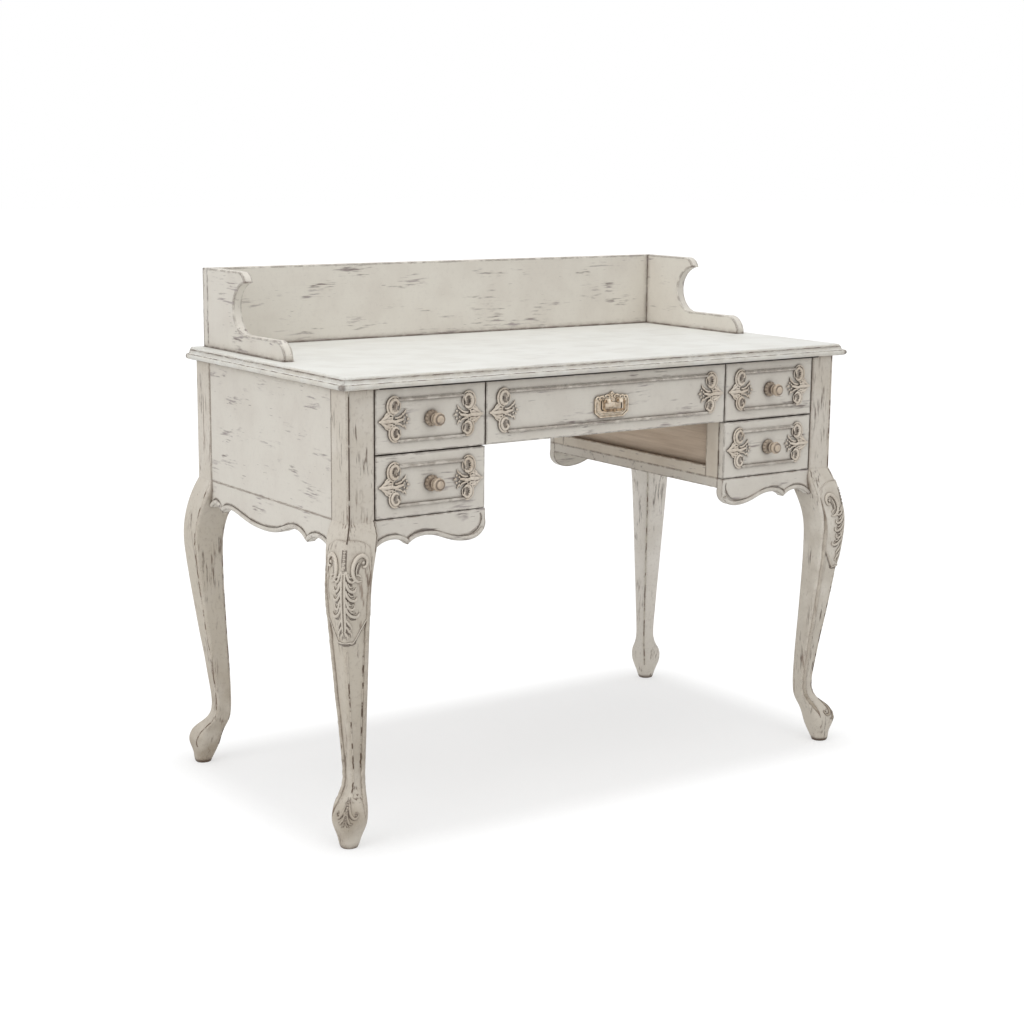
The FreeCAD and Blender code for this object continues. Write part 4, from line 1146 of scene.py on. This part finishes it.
class LegSurface:
    """The two outer faces of a left leg, unrolled: s along from the corner and z up, in metres."""

    ROW_STEP = 0.002
    RAY_STEP = 0.001
    REACH = 0.062
    OUTER_FAN = 0.06
    INNER_FAN = 0.02
    STAND_OFF = 0.3
    RAY_LENGTH = 0.42
    WIDEST_SPAN = 0.02
    MIDDLE_X = -0.514
    MIDDLE_DEPTH = 0.05
    ROUNDING = 9
    TINY = 1e-12
    LAST_CELL = 1.001

    def __init__(self, node: str, low: float, high: float) -> None:
        """Feels the leg's faces with rays along its diagonal.

        Args:
            node: the leg; a rear leg is felt as its mirror image in front.
            low: lowest height.
            high: highest height.
        """
        self.flip = Matrix.Identity(4)
        if "rear" in node:
            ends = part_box("leg_front_left")[0].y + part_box("leg_rear_left")[1].y
            self.flip = Matrix.Translation((0, ends, 0)) @ Matrix.Scale(-1.0, 4, (0, 1, 0))
        self.tree = ray_tree(node, self.flip)
        self.heights = np.arange(low, high + self.ROW_STEP / 2, self.ROW_STEP)
        self.across = self.fan(self.REACH)
        self.places = np.zeros((len(self.heights), len(self.across), 3))
        self.ends = np.zeros((len(self.heights), 2))
        self.inner = np.zeros((len(self.heights), 3))
        inward = Vector((1, 1, 0)).normalized()
        for i, height in enumerate(self.heights):
            backs = self.felt(self.INNER_FAN, -inward, height)
            self.inner[i] = max(backs, key=lambda place: place[0] + place[1])
            row = np.array(self.felt(self.OUTER_FAN, inward, height))
            spans = np.linalg.norm(np.diff(row, axis=0), axis=1)
            row = row[np.concatenate([[True], spans < self.WIDEST_SPAN])]
            run = np.concatenate([[0.0], np.cumsum(np.linalg.norm(np.diff(row, axis=0), axis=1))])
            run -= run[int(np.argmin(row[:, 0] + row[:, 1]))]
            self.ends[i] = run[0], run[-1]
            for axis in range(3):
                self.places[i, :, axis] = np.interp(self.across, run, row[:, axis])
        self.normals = self.outward()

    def fan(self, half: float) -> np.ndarray:
        """Evenly spaced distances to both sides of the middle."""
        return np.arange(-half, half + self.RAY_STEP / 10, self.RAY_STEP)

    def felt(self, half: float, way: Vector, height: float) -> list[Point]:
        """Where level rays first meet the leg.

        Args:
            half: how far the rays spread to both sides.
            way: where they go.
            height: their height.

        Returns:
            The places that they meet.
        """
        middle = Vector((self.MIDDLE_X, SOLID_BOX[0].y + self.MIDDLE_DEPTH, 0))
        sideways = Vector((1, -1, 0)).normalized()
        hits = []
        for offset in self.fan(half):
            start = middle + sideways * float(offset) - way * self.STAND_OFF + Vector((0, 0, float(height)))
            place = self.tree.ray_cast(start, way, self.RAY_LENGTH)[0]
            if place is not None:
                hits.append(tuple(place))
        return hits

    def outward(self) -> np.ndarray:
        """Directions off the faces, rounded over the corner.

        Returns:
            One direction for each place of the table.
        """
        along = np.apply_along_axis(smoothed, 1, np.gradient(self.places, axis=1), self.ROUNDING)
        normals = np.cross(along, np.gradient(self.places, axis=0))
        normals /= np.maximum(np.linalg.norm(normals, axis=2, keepdims=True), self.TINY)
        facing = np.sign(normals @ np.array((-1.0, -1.0, 0.0)))
        return normals * np.where(facing == 0, 1, facing)[:, :, None]

    def wrap(self, s: np.ndarray, z: np.ndarray, w: np.ndarray) -> np.ndarray:
        """Points at a distance off the leg.

        Args:
            s: distances from the corner line.
            z: heights.
            w: distances off the face.

        Returns:
            Rows of x, y, z.
        """
        i, j = (np.clip((value - table[0]) / (table[1] - table[0]), 0, len(table) - self.LAST_CELL)
                for value, table in ((z, self.heights), (s, self.across)))
        i0, j0 = i.astype(int), j.astype(int)
        a, b = (i - i0)[:, None], (j - j0)[:, None]

        def read(table: np.ndarray) -> np.ndarray:
            """Value of a table between its rows and columns."""
            return ((1 - a) * (1 - b) * table[i0, j0] + (1 - a) * b * table[i0, j0 + 1]
                    + a * (1 - b) * table[i0 + 1, j0] + a * b * table[i0 + 1, j0 + 1])

        return read(self.places) + read(self.normals) * w[:, None]

    def edge(self, heights: np.ndarray, end: int, inset: float, width: int = 7) -> np.ndarray:
        """Points along one edge of the two faces.

        Args:
            heights: where to read them.
            end: 0 for the edge on the desk's side, 1 for the edge on its front.
            inset: how far they lie in from the edge.
            width: number of values in the running mean that smooths the edge.

        Returns:
            Rows of x, y, z.
        """
        edge = smoothed(np.interp(heights, self.heights, self.ends[:, end]), width)
        return self.wrap(edge + (inset, -inset)[end], heights, np.zeros_like(heights))


def wrapped(item: Piece, surface: LegSurface, foot: float) -> Piece:
    """Bends a flat relief round the leg.

    Args:
        item: the relief, in millimetres.
        surface: the leg's faces.
        foot: height of the relief's foot, in metres.

    Returns:
        The same object, wrapped.
    """
    s, t, w = (places_of(item) * MM).T
    item.data.vertices.foreach_set("co", surface.wrap(s, foot + t, w).ravel())
    edited(item)
    return item


@dataclass
class KneeLeaves:
    """Carved leaf with two volutes on the knees of the front legs, in millimetres.

    Ridges hold s from the corner, t up from the leaf's foot, height of the centre and radius; a hook holds t,
    reach and thickness. The foot is the leaf's height on the leg, in metres. Ridges sunk almost into the
    ground make low grounds that the paint darkens as painted shadow beside the strands and beads.
    """

    CROWN: ClassVar[Rows] = (
        ((36, 103, 0.2, 0.9), (27, 103.5, 0.8, 2.4), (19.5, 109.5, 1.0, 3.0), (16.6, 119.5, 1.1, 3.4),
         (17.6, 131, 1.2, 3.7), (23, 140.5, 1.2, 3.7), (32, 144.5, 1.2, 3.5), (40.5, 140.5, 1.0, 3.1),
         (43.5, 132.5, 0.9, 2.7), (40.5, 126, 0.8, 2.3), (35, 126.4, 0.7, 2.0)),
        ((25, 111, 0.2, 0.8), (23.4, 120, 0.6, 1.5), (25.5, 130, 0.6, 1.6), (30, 134.5, 0.2, 0.8)),
        ((26, 114, 0.3, 0.9), (30, 112.5, 0.7, 1.8), (34, 108.5, 0.2, 0.8)),
        ((27, 114, -7.5, 8.0), (29, 124, -7.5, 8.0), (33, 132, -7.5, 8.0)))
    STEM: ClassVar[Rows] = (
        ((3.4, 156, -5.6, 6.0), (4, 130, -6.6, 7.0), (5, 104, -6.5, 7.0), (5, 60, -6.5, 7.0),
         (4, 14, -5.5, 6.0)),
        ((2.3, 122, 0.2, 1.0), (2.5, 100, 0.6, 1.7), (2.5, 60, 0.6, 1.7), (2.2, 30, 0.5, 1.6),
         (1.2, 9, 0.1, 0.8)))
    HOOKS: ClassVar[Row] = ((104, 22, 0.9), (88, 24, 1.0), (73, 26, 1.0), (58.5, 21, 0.9), (45, 29, 1.05))
    LOBES: ClassVar[tuple[float, ...]] = (34, 22)
    TIP: ClassVar[Rows] = (
        ((2.8, 18, 0.4, 1.2), (5.5, 12, 0.7, 1.9), (5, 5.5, 0.2, 0.9)),
        ((50, 48, 0.1, 0.6), (46, 42, 0.3, 1.4), (31, 21, 0.4, 1.5), (17, 2, 0.4, 1.5), (9, 1, 0.4, 1.5),
         (0, 1, -0.2, 1.4)),
        ((52.5, 47, -7.9, 8.0), (48, 40, -7.8, 8.0), (33, 19, -7.75, 8.0), (18.5, -1.5, -7.6, 8.0),
         (9, -3, -9.4, 10.0), (0, -3, -9.4, 10.0)))
    EYE: ClassVar[Point] = (36, 132.8, 2.9, 0.8)
    BEADS: ClassVar[Row] = (
        (118, 2.6), (125, 2.8), (132, 2.6), (138.5, 2.4), (144.5, 2.2), (150, 2.0), (155, 1.7))

    foot: float = 0.3555
    bead_top: float = 1.3
    shallow: float = 1.3
    detail: float = 0.6
    relief: float = 1.0
    sunk: float = 1.2

    def hook(self, t: float, reach: float, thick: float) -> Rows:
        """Ridges of one hooked lobe of the leaf, with low grounds beside it that the paint darkens as painted
        shadow.

        Args:
            t: height of the lobe.
            reach: how far it goes from the corner.
            thick: factor on its thickness.

        Returns:
            The ridges.
        """
        return (
            ((4.6, t + 18, 0.5, 1.5 * thick), (6.4, t + 10, 0.9, 2.2 * thick),
             (0.45 * reach, t + 2.5, 1.1, 2.5 * thick), (0.74 * reach, t - 0.5, 1.0, 2.4 * thick),
             (0.95 * reach, t + 2, 0.8, 2.0 * thick), (reach, t + 7, 0.1, 0.8)),
            ((6, t + 13, -8.5, 9.0), (0.44 * reach, t - 2.5, -8.5, 9.0), (0.8 * reach, t - 5, -8.7, 9.0)),
            ((9, t + 14, -8.5, 9.0), (0.5 * reach, t + 7, -8.5, 9.0), (0.8 * reach, t + 6, -8.7, 9.0)),
            ((8.5, t + 14, 0.5, 1.0), (0.52 * reach, t + 8, 0.8, 1.5), (0.76 * reach, t + 7, 0.2, 0.8)))

    def lobe(self, t: float) -> Rows:
        """Ridges of one short lobe near the tip, with a low ground beside it that the paint darkens as
        painted shadow.
        """
        return (
            ((3.6, t + 8, 0.4, 1.3), (8.5, t, 0.8, 2.2), (12.5, t - 6, 0.6, 1.8), (11, t - 12, 0.1, 0.8)),
            ((4, t + 3, -8.4, 9.0), (8, t - 7, -8.5, 9.0)))

    def pattern(self) -> Piece:
        """Carves the leaf on a flat ground.

        Returns:
            The leaf, in millimetres.
        """
        r = Relief("knee_pattern", shallow=self.shallow)
        hooks = [row for hook in self.HOOKS for row in self.hook(*hook)]
        lobes = [row for t in self.LOBES for row in self.lobe(t)]
        eye, *eye_rest = self.EYE
        for side in HALVES:
            for row in (*self.CROWN, *self.STEM, *hooks, *lobes, *self.TIP):
                r.ridge(*row, side=side)
            r.pearl(side * eye, *eye_rest)
        for t, radius in self.BEADS:
            r.pearl(0, t, radius, self.bead_top - radius)
        return r.carve(self.detail, self.relief, self.sunk)

    def build(self, surface: LegSurface, material: Material) -> None:
        """Wraps the leaf round the left knee and mirrors it to the right."""
        settle_pair(wrapped(self.pattern(), surface, self.foot), "knee_leaf", material)


@dataclass
class FootScrolls:
    """Small carved scroll on the toes of the front legs: s from the corner and t up from the floor."""

    RIDGES: ClassVar[Rows] = (
        ((1.8, 84, 0.1, 0.7), (3.4, 74, 0.5, 1.5), (8, 62, 0.7, 2.0), (15, 55, 0.7, 2.1),
         (21, 55.5, 0.6, 1.9), (23, 60, 0.5, 1.6), (19.5, 63, 0.4, 1.4), (16.5, 60.5, 0.2, 1.0)),
        ((1.6, 66, 0.2, 0.9), (3.6, 56, 0.6, 1.7), (9, 47.5, 0.6, 1.8), (15, 47.5, 0.1, 0.7)),
        ((1.4, 54, 0.2, 0.9), (3.2, 46, 0.5, 1.5), (7.5, 40.5, 0.1, 0.7)),
        # Sunk rows: low grounds that the paint darkens as painted shadow beside the scroll's ridges
        ((3, 78, -8.4, 9.0), (5, 66, -8.4, 9.0), (11, 56, -8.4, 9.0), (20, 57, -8.5, 9.0)),
        ((3, 60, -8.4, 9.0), (6, 50, -8.4, 9.0), (12, 45, -8.5, 9.0)),
        ((2, 50, -8.4, 9.0), (4, 42, -8.5, 9.0)))
    BEADS: ClassVar[Row] = ((80, 1.3), (74.5, 1.7), (68, 1.9), (61.5, 1.8), (55.5, 1.5))

    bead_lift: float = 0.4
    shallow: float = 2.2
    detail: float = 0.6
    relief: float = 0.8
    sunk: float = 1.0

    def build(self, surface: LegSurface, material: Material) -> None:
        """Wraps the scroll round the left toe and mirrors it to the right.

        Args:
            surface: the leg's faces.
            material: carved paint.
        """
        r = Relief("foot_scroll", shallow=self.shallow)
        for side in HALVES:
            for row in self.RIDGES:
                r.ridge(*row, side=side)
        for t, radius in self.BEADS:
            r.pearl(0, t, radius, self.bead_lift)
        scroll = r.carve(self.detail, self.relief, self.sunk)
        settle_pair(wrapped(scroll, surface, 0.0), "foot_scroll", material)


@dataclass
class DrawerBeads:
    """Straight beads between the scrolls of each drawer front, in metres."""

    margin: float = 0.0205
    ends: float = 0.042
    radius: float = 0.0022
    points: int = 60
    turns: int = 3

    def build(self, material: Material) -> None:
        """Runs two beads along every drawer front.

        Args:
            material: paint.
        """
        for name in DRAWERS:
            low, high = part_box(f"{name}_front")
            run = np.linspace(low.x + self.ends, high.x - self.ends, self.points)
            rows = [np.array([(x, low.y, z, self.radius) for x in run])
                    for z in (low.z + self.margin, high.z - self.margin)]
            settle(tubes(f"{name}_beads", rows, self.turns), f"{name}_drawer", material)


@dataclass
class EdgeBeads:
    """Rounded beads down the inner edges of the front legs, tapered at both ends, in metres."""

    inset: float = 0.0042
    radius: float = 0.004
    low: float = 0.052
    high: float = 0.5
    step: float = 0.004
    low_taper: float = 0.02
    high_taper: float = 0.08
    least_share: float = 0.1
    turns: int = 3

    def build(self, surface: LegSurface, material: Material) -> None:
        """Runs a bead down both inner edges of each front leg.

        Args:
            surface: the leg's faces.
            material: paint.
        """
        heights = np.arange(self.low, self.high, self.step)
        taper = np.minimum((heights - self.low) / self.low_taper, (self.high - heights) / self.high_taper)
        radius = self.radius * np.clip(taper, self.least_share, 1.0)
        rows = [thick(surface.edge(heights, end, self.inset), radius) for end in (0, 1)]
        settle_pair(tubes("leg_beads", rows, self.turns), "leg_beads", material)


@dataclass
class ApronBeads:
    """Rounded bead along the scalloped lower edge of the front and side aprons, in metres."""

    radius: float = 0.0038
    rise: float = 0.0042
    step: float = 0.002
    end_gap: float = 0.0015
    depth: float = 0.002
    stand_off: float = 0.05
    ray_length: float = 0.3
    passes: int = 2
    turns: int = 3

    def edge(self, node: str, along: int, face: float) -> np.ndarray:
        """Feels an apron's lower edge from below.

        Args:
            node: the apron.
            along: axis that it runs along.
            face: where to feel it on the other axis.

        Returns:
            Places along it and heights, a little above the edge.
        """
        tree = ray_tree(node)
        low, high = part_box(node)
        points = []
        for run in np.arange(low[along] + self.end_gap, high[along] - self.end_gap, self.step):
            start = Vector((0, 0, low.z - self.stand_off))
            start[along] = float(run)
            start[1 - along] = face
            place = tree.ray_cast(start, Vector((0, 0, 1)), self.ray_length)[0]
            if place is not None:
                points.append((run, place.z))
        row = np.array(points)
        for _ in range(self.passes):
            row[1:-1] = 0.25 * row[:-2] + 0.5 * row[1:-1] + 0.25 * row[2:]
        lean = np.gradient(row, axis=0)
        lean /= np.linalg.norm(lean, axis=1, keepdims=True)
        return row + self.rise * np.column_stack([-lean[:, 1], lean[:, 0]])

    def build(self, material: Material) -> None:
        """Runs the beads along the left aprons and mirrors them to the right.

        Args:
            material: paint.
        """
        rows = []
        for node, along in (("front_apron_left", 0), ("side_apron_left", 1)):
            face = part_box(node)[0][1 - along]
            edge = self.edge(node, along, face + self.depth)
            row = np.full((len(edge), 4), self.radius)
            row[:, [along, 2]] = edge
            row[:, 1 - along] = face
            rows.append(row)
        settle_pair(tubes("apron_beads", rows, self.turns), "apron_beads", material)


@dataclass
class Seams:
    """Glaze lines where the end panels meet posts and aprons and down the front legs, in metres."""

    post: float = 0.052
    radius: float = 0.0007
    corner_radius: float = 0.0011
    corner: float = 0.003
    top_gap: float = 0.001
    post_run: Span = (0.52, 0.768)
    leg_run: Span = (0.09, 0.34)
    side_run: Span = (0.13, 0.33)
    side_inset: float = 0.009
    side_width: int = 9
    apron_run: Span = (0.502, 0.552)
    upright_points: int = 40
    level_points: int = 60
    side_points: int = 60
    apron_points: int = 20
    corner_points: int = 80
    turns: int = 2

    def build(self, surface: LegSurface, seam: Material, faint: Material,
              wear: Material) -> None:
        """Draws the lines on the left half and mirrors them to the right.

        Args:
            surface: the front leg's faces.
            seam: glaze of the left post's corner and of the apron's joint.
            faint: thin glaze of the end panel's joints.
            wear: broken glaze of the legs and of the right post.
        """
        low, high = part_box("side_panel_left")
        front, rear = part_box("front_apron_left")[0].y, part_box("rear_apron_left")[1].y
        near, far = front + self.post, rear - self.post
        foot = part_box("side_apron_left")[1].z
        rise = np.linspace(foot, high.z - self.top_gap, self.upright_points)
        rows = [np.array([(low.x, y, z, self.radius) for z in rise]) for y in (near, far)]
        level = np.linspace(near, far, self.level_points)
        rows.append(np.array([(low.x, y, foot, self.radius) for y in level]))
        apron = surface.edge(np.linspace(*self.apron_run, self.apron_points), 1, 0.0, 1)
        heights = np.linspace(*self.side_run, self.side_points)
        side = surface.edge(heights, 1, self.side_inset, self.side_width)
        corners = [self.corner_row(surface, self.post_run), thick(apron, self.radius)]
        legs = [self.corner_row(surface, self.leg_run), thick(side, self.corner_radius)]
        for name, lines, left, right in (
                ("end_seams", rows, faint, faint), ("post_lines", corners, seam, wear),
                ("leg_lines", legs, wear, wear)):
            settle_pair(tubes(name, lines, self.turns), name, left, right)

    def corner_row(self, surface: LegSurface, run: Span) -> np.ndarray:
        """Line down the corner of the front leg.

        Args:
            surface: the leg's faces.
            run: lowest and highest height.

        Returns:
            Points with a radius.
        """
        heights = np.linspace(*run, self.corner_points)
        places = surface.wrap(np.full_like(heights, self.corner), heights, np.zeros_like(heights))
        return thick(places, self.corner_radius)


@dataclass
class RearLegLines:
    """Broken glaze lines down the edges of the rear legs, in metres."""

    radius: float = 0.0011
    run: Span = (0.035, 0.54)
    inset: float = 0.002
    points: int = 120
    turns: int = 2

    def build(self, surface: LegSurface, wear: Material) -> None:
        """Draws the lines on the left rear leg and mirrors them to the right.

        Args:
            surface: the rear leg's faces.
            wear: broken glaze.
        """
        heights = np.linspace(*self.run, self.points)
        inner = np.column_stack([np.interp(heights, surface.heights, column) for column in surface.inner.T])
        rows = [thick(places, self.radius)
                for places in (*(surface.edge(heights, end, self.inset) for end in (0, 1)), inner)]
        front = tubes("rear_leg_pattern", rows, self.turns)
        lines = moved_copy(front, "rear_leg_lines", surface.flip)
        discard(front)
        settle_pair(lines, "rear_leg_lines", wear)


@dataclass
class TopLines:
    """Glaze lines in the moulded edge of the top, at front and sides, and a painted shadow line under its
    lip, in metres.
    """

    radius: float = 0.0007
    lip_radius: float = 0.0018
    lip_inset: float = 0.004
    spots: Row = ((0.0093, 0.016), (0.0022, 0.0089), (0.0046, 0.0003))
    points: int = 200
    turns: int = 2

    def build(self, glaze: Material, dark: Material) -> None:
        """Runs the lines round three sides of the top and under its lip, over the drawers.

        Args:
            glaze: broken glaze.
            dark: painted shadow under the lip.
        """
        low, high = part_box("desk_top")
        run = np.linspace(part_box("upper_left_front")[0].x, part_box("upper_right_front")[1].x, self.points)
        # A dark tube under the lip: painted shadow in the gap over the drawers
        row = np.array([(x, low.y + self.lip_inset, low.z, self.lip_radius) for x in run])
        settle(tubes("top_lip_shadow", [row], self.turns), "desk_frame", dark)
        rows = []
        for inset, rise in self.spots:
            left, right, front, z = low.x + inset, high.x - inset, low.y + inset, low.z + rise
            turns = [(left, high.y, z), (left, front, z), (right, front, z), (right, high.y, z)]
            rows += [thick(np.linspace(a, b, self.points), self.radius) for a, b in zip(turns, turns[1:])]
        settle(tubes("top_lines", rows, self.turns), "desk_frame", glaze)


class Dressing:
    """Finishes of the solids that stay in sight: the first pattern that fits a solid's name counts."""

    BOARDS = (
        ("leg_front_right", LIT_LEG_PAINT, Grain.UPRIGHT),
        ("leg_rear_right", BOUNCE_LIT_LEG_PAINT, Grain.UPRIGHT),
        ("leg_*", LEG_PAINT, Grain.UPRIGHT), ("desk_top", TOP_PAINT, Grain.LONG),
        ("gallery_side_*", GALLERY_PAINT, Grain.DEEP), ("gallery_back", GALLERY_PAINT, Grain.LONG),
        ("side_panel_*", PAINT, Grain.DEEP), ("side_apron_*", APRON_PAINT, Grain.DEEP),
        ("*_apron_*", APRON_PAINT, Grain.LONG), ("partition_panel_*", PANEL_WOOD, Grain.DEEP),
        ("partition_stiles", INNER_PAINT, Grain.UPRIGHT), ("partition_*", INNER_PAINT, Grain.DEEP),
        ("drawer_runners", RAW_WOOD, Grain.DEEP), ("top_blocks", RAW_WOOD, Grain.LONG),
        ("*_front", DRAWER_GAP_SHADE_PAINT, Grain.LONG), ("*_sides", RAW_WOOD, Grain.DEEP),
        ("*_back", RAW_WOOD, Grain.LONG), ("*_bottom", RAW_WOOD, Grain.LONG), ("*", PAINT, Grain.LONG))

    def dress(self, metals: dict[str, Material]) -> None:
        """Gives every solid its finish.

        Args:
            metals: finishes of the pull's pieces, by the solid's name.
        """
        made: dict[tuple[str, Grain], Material] = {}
        for name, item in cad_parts.items():
            material = metals.get(name)
            if material is None:
                finish, grain = next((paint, way) for mark, paint, way in self.BOARDS if fnmatch(name, mark))
                if (finish.name, grain) not in made:
                    made[finish.name, grain] = finish.make(grain)
                material = made[finish.name, grain]
            item.data.materials.clear()
            item.data.materials.append(material)
            LOG.info("%s: %s", name, material.name)


@dataclass(frozen=True)
class Camera:
    """Camera that stood in the photo's place, in metres and degrees."""

    place: Tone = (-2.0787, -2.9224, 1.1539)
    yaw: float = 35.145
    pitch: float = 10.765
    roll: float = 0.536
    lens: float = 67.26
    sensor: float = 36.0

    def build(self) -> None:
        """Sets the camera up."""
        yaw, pitch, roll = (math.radians(angle) for angle in (self.yaw, self.pitch, self.roll))
        ahead = Vector((math.sin(yaw) * math.cos(pitch), math.cos(yaw) * math.cos(pitch), -math.sin(pitch)))
        right = Vector((math.cos(yaw), -math.sin(yaw), 0))
        up = right.cross(ahead)
        turned_right = math.cos(roll) * right + math.sin(roll) * up
        turned_up = math.cos(roll) * up - math.sin(roll) * right
        matrix = Matrix((turned_right, turned_up, -ahead)).transposed().to_4x4()
        matrix.translation = self.place
        data = bpy.data.cameras.new("camera")
        data.lens = self.lens
        data.sensor_width = self.sensor
        item = linked("camera", data)
        item.matrix_world = matrix
        bpy.context.scene.camera = item


@dataclass(frozen=True)
class Lamp:
    """Square soft light."""

    name: str
    place: Tone
    aim: Tone
    size: float
    power: float

    def build(self) -> None:
        """Hangs the light."""
        data = bpy.data.lights.new(self.name, "AREA")
        data.shape = "SQUARE"
        data.size = self.size
        data.energy = self.power
        item = linked(self.name, data)
        item.location = self.place
        item.rotation_euler = (Vector(self.aim) - Vector(self.place)).to_track_quat("-Z", "Y").to_euler()


class Studio:
    """White floor and surround with soft light from above, from the left and from in front."""

    LAMPS = (
        Lamp("overhead", (-0.3, -0.4, 3.2), (0, 0, 0.4), 3.2, 38.0),
        Lamp("left_window", (-3.6, -0.6, 2.0), (0, 0, 0.5), 2.6, 34.0),
        Lamp("front_fill", (0.4, -4.2, 1.8), (0, 0, 0.5), 2.6, 17.0),
    )
    SKY = 0.57
    WHITE = (1.0, 1.0, 1.0)
    FLOOR = tone(236, 236, 236)
    FLOOR_SIZE = 60.0
    FLOOR_DROP = 0.0005
    FLOOR_LIFT = 0.5
    FLOOR_GLOW = 1.12
    FOOTPRINT = (0.52, 0.26, 0.0)
    FADE_END = 0.19

    def seen(self, nodes: Nodes) -> Socket:
        """Marks the rays that show the surround: straight from the camera, in gloss or through glass.

        Args:
            nodes: nodes of the floor or of the surround.

        Returns:
            1 for such a ray.
        """
        ray = nodes.node("ShaderNodeLightPath", {}).outputs
        shown = nodes.maths("MAXIMUM", ray["Is Camera Ray"], ray["Is Glossy Ray"])
        return nodes.maths("MAXIMUM", shown, ray["Is Transmission Ray"])

    def away(self, s: Shader) -> Socket:
        """Distance from the desk's footprint.

        Args:
            s: the floor's shader.

        Returns:
            0 under the desk, more beside it.
        """
        vector = s.coords
        steps = (("ABSOLUTE", {}), ("SUBTRACT", {1: self.FOOTPRINT}), ("MAXIMUM", {1: (0.0, 0.0, 0.0)}))
        for operation, other in steps:
            feeds = {0: vector, **other}
            vector = s.node("ShaderNodeVectorMath", feeds, operation=operation).outputs["Vector"]
        return s.node("ShaderNodeVectorMath", {0: vector}, operation="LENGTH").outputs["Value"]

    def floor(self) -> None:
        """Lays the white floor, lit near the desk and plain white further away."""
        bpy.ops.mesh.primitive_plane_add(size=self.FLOOR_SIZE, location=(0, 0, -self.FLOOR_DROP))
        plane = bpy.context.view_layer.objects.active
        plane.name = "studio_floor"
        s = Shader("studio_floor")
        s.tree.nodes.remove(s.surface)
        diffuse = s.node("ShaderNodeBsdfDiffuse", {"Color": self.FLOOR}).outputs[0]
        glow = s.node("ShaderNodeEmission", {"Strength": self.FLOOR_GLOW}).outputs[0]
        feeds = {"Value": self.away(s), "From Max": self.FADE_END, "To Min": self.FLOOR_LIFT, "To Max": 1.0}
        fade = s.node("ShaderNodeMapRange", feeds, interpolation_type="SMOOTHSTEP").outputs["Result"]
        share = s.maths("MULTIPLY", self.seen(s), fade)
        both = s.node("ShaderNodeMixShader", {0: share, 1: diffuse, 2: glow}).outputs[0]
        s.feed(s.tree.nodes["Material Output"].inputs["Surface"], both)
        plane.data.materials.append(s.material)

    def sky(self) -> None:
        """Lights the room evenly and shows it white."""
        world = bpy.context.scene.world or bpy.data.worlds.new("surround")
        bpy.context.scene.world = world
        world.use_nodes = True
        nodes = Nodes(world.node_tree)
        feeds = {"Value": self.seen(nodes), "To Min": self.SKY, "To Max": 1.0}
        strength = nodes.node("ShaderNodeMapRange", feeds).outputs["Result"]
        background = nodes.tree.nodes["Background"]
        nodes.feed(background.inputs["Strength"], strength)
        nodes.feed(background.inputs["Color"], self.WHITE)

    def build(self) -> None:
        """Sets floor, surround, lights and camera up."""
        self.floor()
        self.sky()
        for lamp in self.LAMPS:
            lamp.build()
        Camera().build()
        bpy.context.scene.view_settings.view_transform = "Standard"


def main() -> None:
    """Builds the looks piece by piece."""
    logging.basicConfig(level=logging.INFO, format="%(name)s %(message)s")
    brass = BRASS.make()
    carved = CARVED_PAINT.make(Grain.UPRIGHT)
    shade_darkened_brass = SHADE_DARKENED_BAIL_BRASS.make()
    Dressing().dress({"centre_pull_plate": PLATE_BRASS.make(), "centre_pull_posts": brass,
                      "centre_pull_bail": shade_darkened_brass})
    DrawerScrolls().build(carved)
    TurnedKnobs().build(KNOB_PAINT.make(Grain.UPRIGHT))
    CentrePull().build(brass, shade_darkened_brass)
    surface = LegSurface("leg_front_left", *FRONT_LEG_RUN)
    knee_paint = KNEE_PAINT.make(Grain.UPRIGHT)
    KneeLeaves().build(surface, knee_paint)
    EdgeBeads().build(surface, LEG_PAINT.make(Grain.UPRIGHT))
    ApronBeads().build(APRON_PAINT.make(Grain.LONG))
    Seams().build(surface, CORNER_GLAZE.make(), FAINT_GLAZE.make(), BROKEN_GLAZE.make())
    RearLegLines().build(LegSurface("leg_rear_left", *REAR_LEG_RUN), STREAKED_GLAZE.make())
    TopLines().build(LIP_GLAZE.make(), GAP_SHADOW.make())
    FootScrolls().build(surface, knee_paint)
    DrawerBeads().build(PAINT.make(Grain.LONG))
    Studio().build()


if __name__ == "__main__":
    main()
